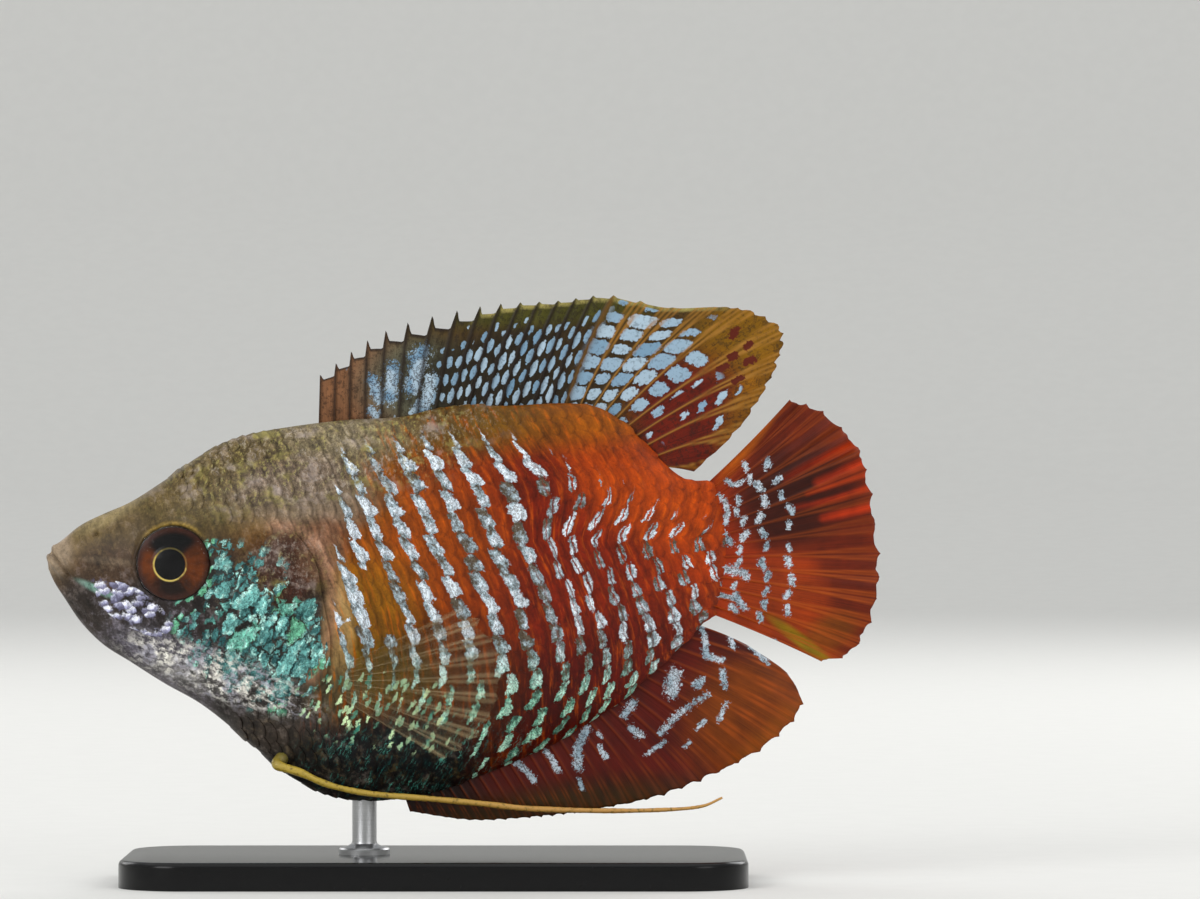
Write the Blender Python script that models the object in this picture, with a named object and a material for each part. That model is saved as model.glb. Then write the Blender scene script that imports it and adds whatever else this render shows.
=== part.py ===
"""Life-size dwarf gourami on a small display stand.

The fish is laid out in millimetres in its own side view: x runs back from the tip of the snout,
z runs up from the lowest edge of the anal fin, and y runs from the fish's left (negative) to its
right. The finished model faces -X, stands on z = 0, and has its origin under the base's middle.
"""

import math

import bmesh
import bpy
from mathutils import Matrix, Vector

MM = 0.001

# Clearance between two pieces that touch in the real animal
GAP = 0.3

# Stand, and where the fish sits over it
BASE_LENGTH, BASE_WIDTH, BASE_THICK = 56.0, 27.0, 2.5
BASE_CORNER, BASE_EDGE = 6.0, 0.5
KEEL_HEIGHT = 5.5
ORIGIN_BEHIND_SNOUT = 35.0
ROD_BEHIND_SNOUT, ROD_RADIUS = 28.6, 1.1
ROD_FOOT_RADIUS, ROD_FOOT_HEIGHT = 2.3, 0.7
ROD_SPIGOT_RADIUS, ROD_SPIGOT_DEPTH, ROD_IN_BELLY = 0.9, 1.4, 2.0

# The body at stations behind the snout: back, belly, half width
BODY = [
    (0.0, 23.5, 22.7, 0.70),
    (0.6, 24.7, 21.4, 1.20),
    (1.5, 25.5, 20.0, 1.65),
    (3.0, 26.7, 17.8, 2.30),
    (5.0, 27.7, 15.8, 3.00),
    (7.5, 28.8, 14.2, 3.70),
    (10.5, 30.7, 12.3, 4.30),
    (14.0, 33.1, 10.3, 4.85),
    (18.0, 34.8, 7.1, 5.25),
    (22.0, 35.6, 3.8, 5.45),
    (27.0, 36.2, 1.8, 5.45),
    (32.0, 36.5, 1.9, 5.25),
    (37.0, 37.4, 3.2, 4.75),
    (42.0, 37.5, 5.1, 4.15),
    (47.0, 37.7, 7.6, 3.40),
    (50.0, 37.2, 9.4, 2.90),
    (52.5, 35.5, 11.3, 2.50),
    (55.0, 32.9, 13.5, 2.15),
    (57.5, 30.9, 15.9, 1.75),
    (60.0, 30.6, 18.4, 1.40),
]
BODY_START, BODY_END = 0.12, 60.0
WIDEST_AT = 0.53
KEEL_HALF = [(0.0, 0.30), (6.0, 0.50), (50.0, 0.55), (60.0, 0.60)]
BACK_FULLNESS = [(0.0, 0.50), (12.0, 0.52), (30.0, 0.62), (60.0, 0.60)]
BELLY_FULLNESS = [(0.0, 0.50), (14.0, 0.55), (26.0, 0.50), (40.0, 0.66), (60.0, 0.60)]
SIDE_STEPS = 13

# Where the body is parted, and how far each cut leans back at the nape
HEAD_END, HEAD_LEAN = 20.4, 1.6
STALK_START, STALK_LEAN = 54.6, -0.8

# The tail's swing to the right
BEND_START, BEND_RATE = 33.0, 0.0013

EYE_BEHIND_SNOUT, EYE_HEIGHT, EYE_RADIUS = 11.7, 23.2, 3.35
EYE_HALF_DEPTH, EYE_PROUD = 1.75, 0.55
NOSTRIL_BEHIND_SNOUT, NOSTRIL_HEIGHT, NOSTRIL_RADIUS = 4.5, 25.9, 0.28
MOUTH_FRONT, MOUTH_CORNER = Vector((-0.3, 25.0)), Vector((1.95, 22.35))
MOUTH_GAPE, MOUTH_WIDTH = 0.34, 8.0
UPPER_LIP_FRONT, LOWER_LIP_FRONT = Vector((0.95, 24.85)), Vector((0.48, 23.35))
LIP_RADIUS, LIP_CORNER_RADIUS = 0.47, 0.26

# Gill cover: its reach from its middle, going round upwards from the rear
GILL_MIDDLE = (20.7, 18.4)
GILL_REACH = [4.7, 4.9, 6.6, 8.4, 7.2, 5.2, 4.3, 4.1, 4.6, 6.4, 7.4, 5.8]
GILL_RAISED, GILL_EDGE_RAISED, GILL_DEPTH = 0.40, 0.22, 0.75
GILL_AROUND, GILL_RINGS = 24, 3

# Fins in the middle plane: (ray, root behind the snout), then (ray, tip)
DORSAL_SPINES, DORSAL_RAYS = 16, 25
DORSAL_ROOTS = [
    (0, 24.4), (4, 30.1), (8, 36.3), (12, 42.2), (15, 46.6),
    (18, 50.3), (20, 52.3), (22, 54.0), (24, 55.6),
]
DORSAL_TIPS = [
    (0, (24.6, 40.1)), (4, (30.5, 44.1)), (8, (39.0, 46.3)), (12, (46.0, 46.8)),
    (15, (51.0, 47.3)), (17, (56.3, 46.2)), (19, (62.8, 46.1)), (20, (66.2, 44.3)),
    (21, (65.9, 41.4)), (22, (64.4, 38.3)), (23, (62.0, 34.9)), (24, (58.3, 31.4)),
]
ANAL_SPINES, ANAL_RAYS = 17, 31
ANAL_ROOTS = [
    (0, 32.2), (5, 36.1), (10, 40.8), (16, 46.2), (20, 49.8), (24, 53.2),
    (27, 55.8), (30, 58.8),
]
ANAL_TIPS = [
    (0, (32.7, 0.8)), (5, (38.1, 0.0)), (10, (43.5, 0.2)), (16, (49.8, 0.9)),
    (20, (55.6, 2.2)), (24, (62.4, 5.0)), (26, (66.0, 7.5)), (28, (68.2, 10.4)),
    (29, (66.8, 13.2)), (30, (63.2, 15.7)),
]
TAIL_RAYS = 15
TAIL_TIPS = [
    (0, (67.0, 38.0)), (2, (70.0, 36.9)), (4, (73.3, 33.7)), (6, (74.5, 29.4)),
    (8, (75.2, 24.0)), (10, (75.0, 19.9)), (12, (73.4, 15.8)), (13, (71.8, 14.5)),
    (14, (69.9, 14.2)),
]
TAIL_INSET = 0.4

# Fin section: a web with rays raised on both faces, and how far the web falls short of the tips
WEB_HALF, RAY_ROOT_HALF, RAY_TIP_HALF, FIN_EDGE_HALF = 0.26, 0.46, 0.28, 0.16
RAY_SHARE = 0.26
SPINE_NOTCH, SOFT_NOTCH = (0.94, 0.86), (0.985, 0.98)
NOTCHED_SPINES = 8
MEDIAN_ROWS, TAIL_ROWS = 4, 6

# Pectoral fin: root on the flank, ray angles above the level, ray lengths
PECTORAL_ROOT, PECTORAL_ROOT_HALF = (26.7, 12.7), 1.35
PECTORAL_RAYS, PECTORAL_ROWS = 10, 5
PECTORAL_TOP, PECTORAL_BOTTOM = 27.0, -29.0
PECTORAL_LENGTHS = [(0, 12.8), (3, 15.0), (6, 14.2), (9, 11.2)]
PECTORAL_STANDOFF, PECTORAL_OUT = 1.3, 13.0

# Pelvic filaments: behind the snout, out from the midline, height
PELVIC_ROOT = (21.3, 5.7)
LEFT_PELVIC = [
    (23.0, 3.65, 4.5), (25.5, 3.4, 3.4), (29.1, 3.1, 2.6), (34.5, 2.5, 2.1),
    (39.0, 2.0, 1.65), (43.5, 1.6, 1.15), (49.8, 1.45, 0.95), (55.0, 1.5, 1.0),
    (58.8, 1.6, 1.3), (60.8, 1.7, 2.1),
]
RIGHT_PELVIC = [
    (23.0, 3.65, 4.6), (25.5, 3.4, 3.7), (29.1, 3.1, 3.3), (34.5, 2.7, 3.1),
    (39.0, 2.5, 3.0), (43.5, 2.3, 2.9), (49.8, 2.1, 3.1), (55.0, 2.1, 3.9),
    (58.2, 2.2, 4.6),
]
PELVIC_ROOT_RADIUS, PELVIC_RADIUS, PELVIC_TIP_RADIUS = 0.60, 0.30, 0.20
PELVIC_STEPS = 3

# Colour, roughness and metallic value of each finish
FINISHES = {
    "olive_head": ((0.16, 0.12, 0.07, 1.0), 0.45, 0.1),
    "red_flank": ((0.42, 0.07, 0.015, 1.0), 0.40, 0.1),
    "gill_blue": ((0.10, 0.42, 0.42, 1.0), 0.30, 0.5),
    "eye": ((0.12, 0.03, 0.008, 1.0), 0.08, 0.0),
    "dorsal": ((0.16, 0.13, 0.07, 1.0), 0.45, 0.0),
    "red_fin": ((0.50, 0.08, 0.012, 1.0), 0.45, 0.0),
    "clear_fin": ((0.40, 0.28, 0.14, 1.0), 0.35, 0.0),
    "filament": ((0.72, 0.45, 0.10, 1.0), 0.40, 0.0),
    "stand_black": ((0.02, 0.02, 0.022, 1.0), 0.35, 0.0),
    "stand_steel": ((0.55, 0.55, 0.56, 1.0), 0.25, 1.0),
}


def clear_scene():
    for thing in list(bpy.data.objects):
        bpy.data.objects.remove(thing)


def material(name):
    found = bpy.data.materials.get(name)
    if found:
        return found
    made = bpy.data.materials.new(name)
    made.use_nodes = True
    shader = made.node_tree.nodes["Principled BSDF"]
    colour, roughness, metallic = FINISHES[name]
    shader.inputs["Base Color"].default_value = colour
    shader.inputs["Roughness"].default_value = roughness
    shader.inputs["Metallic"].default_value = metallic
    return made


def smooth_curve(keys, at):
    """The value at a place on the smooth curve through (place, value) keys."""
    values = [Vector(value) if isinstance(value, tuple) else value for _, value in keys]
    places = [place for place, _ in keys]
    if at <= places[0]:
        return values[0]
    if at >= places[-1]:
        return values[-1]
    i = max(n for n in range(len(keys) - 1) if places[n] <= at)

    def slope(n):
        low, high = max(n - 1, 0), min(n + 1, len(keys) - 1)
        return (values[high] - values[low]) / (places[high] - places[low])

    span = places[i + 1] - places[i]
    f = (at - places[i]) / span
    return (
        values[i] * (2 * f**3 - 3 * f**2 + 1)
        + slope(i) * (span * (f**3 - 2 * f**2 + f))
        + values[i + 1] * (3 * f**2 - 2 * f**3)
        + slope(i + 1) * (span * (f**3 - f**2))
    )


BACK_LINE = [(row[0], row[1]) for row in BODY]
BELLY_LINE = [(row[0], row[2]) for row in BODY]
HALF_WIDTHS = [(row[0], row[3]) for row in BODY]


def back(x):
    return smooth_curve(BACK_LINE, x)


def belly(x):
    return smooth_curve(BELLY_LINE, x)


def flank_at_angle(x, angle):
    """Height and half width of the body's surface at an angle above its widest level."""
    low, high = belly(x), back(x)
    middle = low + WIDEST_AT * (high - low)
    rise = (high if angle > 0 else low) - middle
    fullness = smooth_curve(BACK_FULLNESS if angle > 0 else BELLY_FULLNESS, x)
    keel = smooth_curve(KEEL_HALF, x)
    spread = max(math.cos(angle), 0.0) ** (2 * fullness)
    width = keel + (smooth_curve(HALF_WIDTHS, x) - keel) * spread
    return middle + rise * abs(math.sin(angle)), width


def flank(x, z):
    """Half width of the body at a point of the side view."""
    low, high = belly(x), back(x)
    middle = low + WIDEST_AT * (high - low)
    share = (z - middle) / (high - middle) if z > middle else (z - middle) / (middle - low)
    return flank_at_angle(x, math.asin(max(-1.0, min(1.0, share))))[1]


def flank_normal(x, z, side):
    step = 0.1
    along = (flank(x + step, z) - flank(x - step, z)) / (2 * step)
    up = (flank(x, z + step) - flank(x, z - step)) / (2 * step)
    return Vector((-along, side, -up)).normalized()


def on_flank(x, z, side, out=0.0):
    """A point of the side view carried out to the skin, and on along its normal."""
    return Vector((x, side * flank(x, z), z)) + flank_normal(x, z, side) * out


def placed(point):
    """A point of the fish, in millimetres, on its stand, with the tail's swing."""
    x, y, z = point
    y += BEND_RATE * max(x - BEND_START, 0.0) ** 2
    return Vector((x - ORIGIN_BEHIND_SNOUT, y, z + KEEL_HEIGHT)) * MM


def on_stand(point):
    """As placed, for what doesn't swing with the tail."""
    x, y, z = point
    return Vector((x - ORIGIN_BEHIND_SNOUT, y, z + KEEL_HEIGHT)) * MM


def linked(name, mesh, finish):
    mesh.materials.clear()
    mesh.materials.append(material(finish))
    made = bpy.data.objects.new(name, mesh)
    bpy.context.scene.collection.objects.link(made)
    return made


def object_from(work, name, finish, place=placed):
    """Closes a bmesh laid out in fish millimetres into a named object."""
    for corner in work.verts:
        corner.co = place(corner.co)
    bmesh.ops.recalc_face_normals(work, faces=work.faces)
    mesh = bpy.data.meshes.new(name)
    work.to_mesh(mesh)
    work.free()
    mesh.shade_smooth()
    mesh.set_sharp_from_angle(angle=math.radians(50))
    return linked(name, mesh, finish)


def largest_shell(mesh):
    """Drops every closed surface of a mesh but the largest."""
    work = bmesh.new()
    work.from_mesh(mesh)
    left, shells = set(work.faces), []
    while left:
        shell, front = set(), [left.pop()]
        while front:
            face = front.pop()
            shell.add(face)
            beside = {other for edge in face.edges for other in edge.link_faces} & left
            left -= beside
            front += beside
        shells.append(shell)
    keep = max(shells, key=lambda shell: sum(face.calc_area() for face in shell))
    spare = [face for face in work.faces if face not in keep]
    bmesh.ops.delete(work, geom=spare, context="FACES")
    work.to_mesh(mesh)
    work.free()


def combined(target, others, operation):
    """Applies one Boolean with a collection of closed objects, which are then removed."""
    helpers = bpy.data.collections.new("helpers")
    bpy.context.scene.collection.children.link(helpers)
    for other in others:
        bpy.context.scene.collection.objects.unlink(other)
        helpers.objects.link(other)
    tool = target.modifiers.new("combined", "BOOLEAN")
    tool.operation, tool.operand_type, tool.collection = operation, "COLLECTION", helpers
    graph = bpy.context.evaluated_depsgraph_get()
    result = bpy.data.meshes.new_from_object(target.evaluated_get(graph))
    target.modifiers.clear()
    target.data = result
    for other in list(helpers.objects):
        bpy.data.objects.remove(other)
    bpy.data.collections.remove(helpers)
    largest_shell(target.data)
    return target


def section(work, x, lean):
    """One cross-section of the body: the edges of its left side and of its right side."""
    corners_a_side = SIDE_STEPS + 1
    ring = bmesh.ops.create_circle(work, segments=2 * corners_a_side, radius=1)["verts"]
    for n, corner in enumerate(ring):
        side = -1 if n < corners_a_side else 1
        step = n if side < 0 else 2 * corners_a_side - 1 - n
        angle = math.pi * (step / SIDE_STEPS - 0.5)
        here = x + lean * math.sin(angle)
        height, width = flank_at_angle(here, angle)
        corner.co = (here, side * width, height)
    halves = []
    for half in (ring[:corners_a_side], ring[corners_a_side:]):
        halves.append([work.edges.get(pair) for pair in zip(half, half[1:])])
    joins = [work.edges.get((ring[0], ring[-1])), work.edges.get(ring[corners_a_side - 1:corners_a_side + 1])]
    return halves[0], halves[1], joins


def body_length(name, start, end, start_lean, end_lean, stations, finish):
    """A length of the body between two slanted cuts, lofted through its sections."""
    work = bmesh.new()
    sections = []
    for n in range(stations + 1):
        share = n / stations
        lean = start_lean + (end_lean - start_lean) * share
        sections.append(section(work, start + (end - start) * share, lean))
    for near, far in zip(sections, sections[1:]):
        bmesh.ops.bridge_loops(work, edges=sum(near + far, []))
    for left, right, _ in (sections[0], sections[-1]):
        bmesh.ops.bridge_loops(work, edges=left + right)
    return object_from(work, name, finish)


def ball(name, centre, radii, finish, segments, rings):
    """A ball stretched along the fish's axes, with its poles to the left and right."""
    work = bmesh.new()
    shape = (
        Matrix.Translation(centre)
        @ Matrix.Diagonal((*radii, 1.0))
        @ Matrix.Rotation(math.pi / 2, 4, "X")
    )
    bmesh.ops.create_uvsphere(work, u_segments=segments, v_segments=rings, radius=1, matrix=shape)
    return object_from(work, name, finish)


def eye(name, side, grow=0.0):
    out = flank(EYE_BEHIND_SNOUT, EYE_HEIGHT) + EYE_PROUD - EYE_HALF_DEPTH
    radius, depth = EYE_RADIUS + grow, EYE_HALF_DEPTH + grow
    centre = (EYE_BEHIND_SNOUT, side * out, EYE_HEIGHT)
    return ball(name, centre, (radius, depth, radius), "eye", 18, 8)


def nostril(side):
    x, z, radius = NOSTRIL_BEHIND_SNOUT, NOSTRIL_HEIGHT, NOSTRIL_RADIUS
    return ball("nostril", on_flank(x, z, side), (radius, 2 * radius, radius), "olive_head", 8, 6)


def mouth_cleft():
    """The slit between the lips, right across the snout."""
    middle, run = (MOUTH_FRONT + MOUTH_CORNER) / 2, MOUTH_CORNER - MOUTH_FRONT
    work = bmesh.new()
    shape = (
        Matrix.Translation((middle.x, 0, middle.y))
        @ Matrix.Rotation(math.atan2(-run.y, run.x), 4, "Y")
        @ Matrix.Diagonal((run.length, MOUTH_WIDTH, MOUTH_GAPE, 1.0))
    )
    bmesh.ops.create_cube(work, size=1, matrix=shape)
    return object_from(work, "mouth_cleft", "olive_head")


def cord(name, path, radii, finish):
    """A round cord of changing thickness, capped at both ends."""
    curve = bpy.data.curves.new(name, "CURVE")
    curve.dimensions = "3D"
    curve.bevel_depth = MM
    curve.bevel_resolution = 1
    curve.use_fill_caps = True
    line = curve.splines.new("POLY")
    line.points.add(len(path) - 1)
    for knot, point, radius in zip(line.points, path, radii):
        knot.co = (*placed(point), 1.0)
        knot.radius = radius
    bent = bpy.data.objects.new(name, curve)
    mesh = bpy.data.meshes.new_from_object(bent)
    bpy.data.objects.remove(bent)
    work = bmesh.new()
    work.from_mesh(mesh)
    bmesh.ops.remove_doubles(work, verts=work.verts, dist=0.001 * MM)
    bmesh.ops.recalc_face_normals(work, faces=work.faces)
    work.to_mesh(mesh)
    work.free()
    mesh.shade_smooth()
    return linked(name, mesh, finish)


def lip(name, front):
    """A lip from one corner of the mouth round the snout to the other."""
    steps = 12
    path, radii = [], []
    corner_out = flank(*MOUTH_CORNER) - 0.10
    for n in range(steps + 1):
        turn = math.pi * n / steps
        forward = math.sin(turn) ** 0.8
        spot = MOUTH_CORNER.lerp(front, forward)
        path.append((spot.x, -corner_out * math.cos(turn), spot.y))
        radii.append(LIP_CORNER_RADIUS + (LIP_RADIUS - LIP_CORNER_RADIUS) * forward)
    return cord(name, path, radii, "olive_head")


def thickened(work, name, place, finish):
    """Gives a flat sheet a second face. place(corner, side) puts a corner of either face."""
    bmesh.ops.triangulate(work, faces=work.faces, quad_method="FIXED")
    near = list(work.verts)
    copied = bmesh.ops.extrude_face_region(work, geom=list(work.faces))["geom"]
    far = [item for item in copied if isinstance(item, bmesh.types.BMVert)]
    for side, corners in ((-1, near), (1, far)):
        for corner in corners:
            corner.co = place(corner.co, side)
    return object_from(work, name, finish)


def gill_patch(name, side, grow, raised, edge_raised, depth):
    """A plate that follows the flank, raised above it and sunk below it."""
    count = len(GILL_REACH)
    reach = [(n, GILL_REACH[n % count]) for n in range(-2, count + 3)]
    work = bmesh.new()
    bmesh.ops.create_circle(work, cap_ends=True, cap_tris=True, segments=GILL_AROUND, radius=1)
    for ring in range(2, GILL_RINGS + 1):
        rim = [edge for edge in work.edges if edge.is_boundary]
        grown = bmesh.ops.extrude_edge_only(work, edges=rim)["geom"]
        for corner in (item for item in grown if isinstance(item, bmesh.types.BMVert)):
            corner.co *= ring / (ring - 1)

    def place(corner, face):
        out = corner.length / GILL_RINGS
        turn = math.atan2(corner.y, corner.x) % (2 * math.pi)
        far = (smooth_curve(reach, turn / (2 * math.pi) * count) + grow) * out
        x = GILL_MIDDLE[0] + far * math.cos(turn)
        z = GILL_MIDDLE[1] + far * math.sin(turn)
        height = raised + (edge_raised - raised) * out**3 if face > 0 else -depth
        return Vector((x, side * (flank(x, z) + height), z))

    return thickened(work, name, place, "gill_blue")


def gill_recess(side):
    return gill_patch("gill_recess", side, GAP, 2.0, 2.0, GILL_DEPTH + GAP)


def fin(name, rays, rows, notch, sheet, finish):
    """A ribbed fin. sheet(ray, share) is a point of its middle and the way out of its face,
    and notch(ray) the shares of the ray's length that the web reaches after it and before the
    next one."""
    columns = [(0, 1.0, True)]
    for ray in range(rays - 1):
        after, before = notch(ray)
        columns.append((ray + RAY_SHARE, after, False))
        columns.append((ray + 1 - RAY_SHARE, before, False))
        columns.append((ray + 1, 1.0, True))
    work = bmesh.new()
    bmesh.ops.create_grid(work, x_segments=len(columns) - 1, y_segments=rows, size=0.5)

    def place(corner, side):
        ray, web_reach, on_ray = columns[round((corner.x + 0.5) * (len(columns) - 1))]
        share = corner.y + 0.5
        point, out = sheet(ray, share * web_reach)
        half = WEB_HALF
        if on_ray:
            half = RAY_ROOT_HALF + (RAY_TIP_HALF - RAY_ROOT_HALF) * share
        if share > 0.999:
            half = FIN_EDGE_HALF
        return point + out * (side * half)

    return thickened(work, name, place, finish)


def median_fin(name, rays, rows, root, tip, bow, wave, notch, finish):
    """A fin in the fish's middle plane, its rays running from root to tip."""

    def sheet(ray, share):
        start, end = root(ray), tip(ray)
        run = end - start
        aside = Vector((-run.y, run.x)) * (bow(ray) * share * (1 - share))
        spot = start + run * share + aside
        return Vector((spot.x, wave(ray) * share**2, spot.y)), Vector((0, 1, 0))

    return fin(name, rays, rows, notch, sheet, finish)


def off_edge(line, x, up):
    """A point of the side view GAP off the back (up 1) or the belly (up -1)."""
    step = 0.05
    slope = (line(x + step) - line(x - step)) / (2 * step)
    return Vector((x, line(x))) + Vector((-slope, 1.0)).normalized() * (up * GAP)


def dorsal_fin():
    def root(ray):
        return off_edge(back, smooth_curve(DORSAL_ROOTS, ray), 1)

    def tip(ray):
        return smooth_curve(DORSAL_TIPS, ray)

    def bow(ray):
        return 0.12 * min(ray / DORSAL_SPINES, 1.0)

    def wave(ray):
        soft = max(ray - DORSAL_SPINES, 0) / (DORSAL_RAYS - DORSAL_SPINES)
        return 0.9 * soft * math.sin(1.1 * ray)

    def notch(ray):
        return SPINE_NOTCH if ray < NOTCHED_SPINES else SOFT_NOTCH

    median_fin("dorsal_fin", DORSAL_RAYS, MEDIAN_ROWS, root, tip, bow, wave, notch, "dorsal")


def anal_fin():
    def root(ray):
        return off_edge(belly, smooth_curve(ANAL_ROOTS, ray), -1)

    def tip(ray):
        return smooth_curve(ANAL_TIPS, ray)

    def bow(ray):
        return 0.10 * min(ray / ANAL_SPINES, 1.0)

    def wave(ray):
        soft = max(ray - ANAL_SPINES, 0) / (ANAL_RAYS - ANAL_SPINES)
        return 1.1 * soft * math.sin(0.9 * ray)

    def notch(ray):
        return SOFT_NOTCH

    median_fin("anal_fin", ANAL_RAYS, MEDIAN_ROWS, root, tip, bow, wave, notch, "red_fin")


def tail_fin():
    top, bottom = back(BODY_END) - TAIL_INSET, belly(BODY_END) + TAIL_INSET

    def root(ray):
        return Vector((BODY_END + GAP, top + (bottom - top) * ray / (TAIL_RAYS - 1)))

    def tip(ray):
        return smooth_curve(TAIL_TIPS, ray)

    def bow(ray):
        return 0.10 * (ray / (TAIL_RAYS - 1) - 0.5)

    def wave(ray):
        return 0.9 * math.sin(1.05 * ray) - 0.3

    def notch(ray):
        return SOFT_NOTCH

    median_fin("tail_fin", TAIL_RAYS, TAIL_ROWS, root, tip, bow, wave, notch, "red_fin")


def pectoral_fin(name, side):
    """A fan that leaves the flank square on, then turns back and a little outwards."""
    outwards = math.radians(PECTORAL_OUT)

    def sheet(ray, share):
        fan = ray / (PECTORAL_RAYS - 1)
        x = PECTORAL_ROOT[0] + 0.25 * math.sin(math.pi * fan)
        z = PECTORAL_ROOT[1] + PECTORAL_ROOT_HALF * (1 - 2 * fan)
        start = on_flank(x, z, side, GAP)
        elbow = on_flank(x, z, side, GAP + PECTORAL_STANDOFF)
        turn = math.radians(PECTORAL_TOP + (PECTORAL_BOTTOM - PECTORAL_TOP) * fan)
        level = math.cos(turn)
        away = Vector((level * math.cos(outwards), side * math.sin(outwards), math.sin(turn)))
        end = elbow + away * smooth_curve(PECTORAL_LENGTHS, ray)
        near = 1 - share
        point = start * near**2 + elbow * (2 * near * share) + end * share**2
        ahead = (elbow - start) * near + (end - elbow) * share
        up = Vector((0, 0, 1))
        return point, ahead.cross(up - up.project(ahead)).normalized()

    def notch(ray):
        return SOFT_NOTCH

    fin(name, PECTORAL_RAYS, PECTORAL_ROWS, notch, sheet, "clear_fin")


def pelvic_fin(name, side, route):
    """A single long filament, thickest at its root on the breast."""
    keys = [(0, tuple(on_flank(*PELVIC_ROOT, side, GAP)))]
    keys.append((1, tuple(on_flank(*PELVIC_ROOT, side, GAP + 0.7))))
    for n, (x, out, z) in enumerate(route):
        keys.append((n + 2, (x, side * out, z)))
    last = keys[-1][0]
    path, radii = [], []
    for n in range(PELVIC_STEPS * last + 1):
        at = n / PELVIC_STEPS
        near_root, near_tip = max(0.0, 1 - at / 3.5), max(0.0, at - last + 1)
        path.append(smooth_curve(keys, at))
        radius = PELVIC_RADIUS + (PELVIC_ROOT_RADIUS - PELVIC_RADIUS) * near_root
        radii.append(radius + (PELVIC_TIP_RADIUS - PELVIC_RADIUS) * near_tip)
    cord(name, path, radii, "filament")


def head():
    made = body_length("head", BODY_START, HEAD_END, 0.0, HEAD_LEAN, 22, "olive_head")
    lips = [lip("upper_lip", UPPER_LIP_FRONT), lip("lower_lip", LOWER_LIP_FRONT)]
    combined(made, lips, "UNION")
    cutters = [mouth_cleft()]
    for side in (-1, 1):
        cutters += [nostril(side), eye("socket", side, GAP), gill_recess(side)]
    combined(made, cutters, "DIFFERENCE")


def torso():
    start, end = HEAD_END + GAP, STALK_START - GAP
    made = body_length("torso", start, end, HEAD_LEAN, STALK_LEAN, 18, "red_flank")
    hole = ROD_RADIUS + GAP
    top = belly(ROD_BEHIND_SNOUT) + ROD_IN_BELLY + GAP
    cutters = [turned("rod_hole", [(hole, -3.0), (hole, top)], "stand_steel")]
    cutters += [gill_recess(side) for side in (-1, 1)]
    combined(made, cutters, "DIFFERENCE")


def turned(name, profile, finish):
    """A solid turned about the rod's axis, from (radius, height) points going up."""
    work = bmesh.new()
    axis = Vector((ROD_BEHIND_SNOUT, 0, 0))
    profile = [(0, profile[0][1]), *profile, (0, profile[-1][1])]
    corners = [work.verts.new(axis + Vector((radius, 0, height))) for radius, height in profile]
    lines = [work.edges.new(pair) for pair in zip(corners, corners[1:])]
    bmesh.ops.spin(
        work, geom=corners + lines, cent=axis, axis=(0, 0, 1), angle=2 * math.pi, steps=20
    )
    bmesh.ops.remove_doubles(work, verts=work.verts, dist=0.001)
    return object_from(work, name, finish, on_stand)


def stand_base():
    top = BASE_THICK - KEEL_HEIGHT
    work = bmesh.new()
    shape = Matrix.Translation(
        (ORIGIN_BEHIND_SNOUT, 0, top - BASE_THICK / 2)
    ) @ Matrix.Diagonal((BASE_LENGTH, BASE_WIDTH, BASE_THICK, 1.0))
    bmesh.ops.create_cube(work, size=1, matrix=shape)
    upright = [edge for edge in work.edges if abs(edge.verts[0].co.z - edge.verts[1].co.z) > 1]
    bmesh.ops.bevel(
        work, geom=upright, offset=BASE_CORNER, segments=6, profile=0.5,
        affect="EDGES", material=-1,
    )
    rim = [edge for edge in work.edges if all(abs(v.co.z - top) < 0.001 for v in edge.verts)]
    bmesh.ops.bevel(
        work, geom=rim, offset=BASE_EDGE, segments=2, profile=0.5, affect="EDGES", material=-1
    )
    made = object_from(work, "stand_base", "stand_black", on_stand)
    hole = ROD_SPIGOT_RADIUS + GAP
    socket = [(hole, top - ROD_SPIGOT_DEPTH - GAP), (hole, top + 2)]
    combined(made, [turned("rod_socket", socket, "stand_steel")], "DIFFERENCE")


def stand_rod():
    top = BASE_THICK - KEEL_HEIGHT
    foot = top + GAP
    turned("stand_rod", [
        (ROD_SPIGOT_RADIUS, top - ROD_SPIGOT_DEPTH),
        (ROD_SPIGOT_RADIUS, foot),
        (ROD_FOOT_RADIUS, foot),
        (ROD_FOOT_RADIUS, foot + ROD_FOOT_HEIGHT * 0.6),
        (ROD_RADIUS, foot + ROD_FOOT_HEIGHT),
        (ROD_RADIUS, belly(ROD_BEHIND_SNOUT) + ROD_IN_BELLY),
    ], "stand_steel")


def main():
    clear_scene()
    head()
    torso()
    body_length("tail_stalk", STALK_START, BODY_END, STALK_LEAN, 0.0, 5, "red_flank")
    for label, side, route in (("left", -1, LEFT_PELVIC), ("right", 1, RIGHT_PELVIC)):
        eye("eye_" + label, side)
        gill_patch(
            "gill_cover_" + label, side, 0.0, GILL_RAISED, GILL_EDGE_RAISED, GILL_DEPTH
        )
        pectoral_fin("pectoral_fin_" + label, side)
        pelvic_fin("pelvic_fin_" + label, side, route)
    dorsal_fin()
    anal_fin()
    tail_fin()
    stand_base()
    stand_rod()


main()
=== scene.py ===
"""Dwarf gourami, life size, on a small display stand: the finish of the model, laid over its solids.

Places on the fish are in millimetres in its own side view, as its solids were laid out: x runs back
from the snout, z runs up from the lowest edge of the anal fin, y runs to the fish's right.
"""

import math

import bmesh
import bpy
import numpy as np
from mathutils import Matrix, Vector


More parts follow.
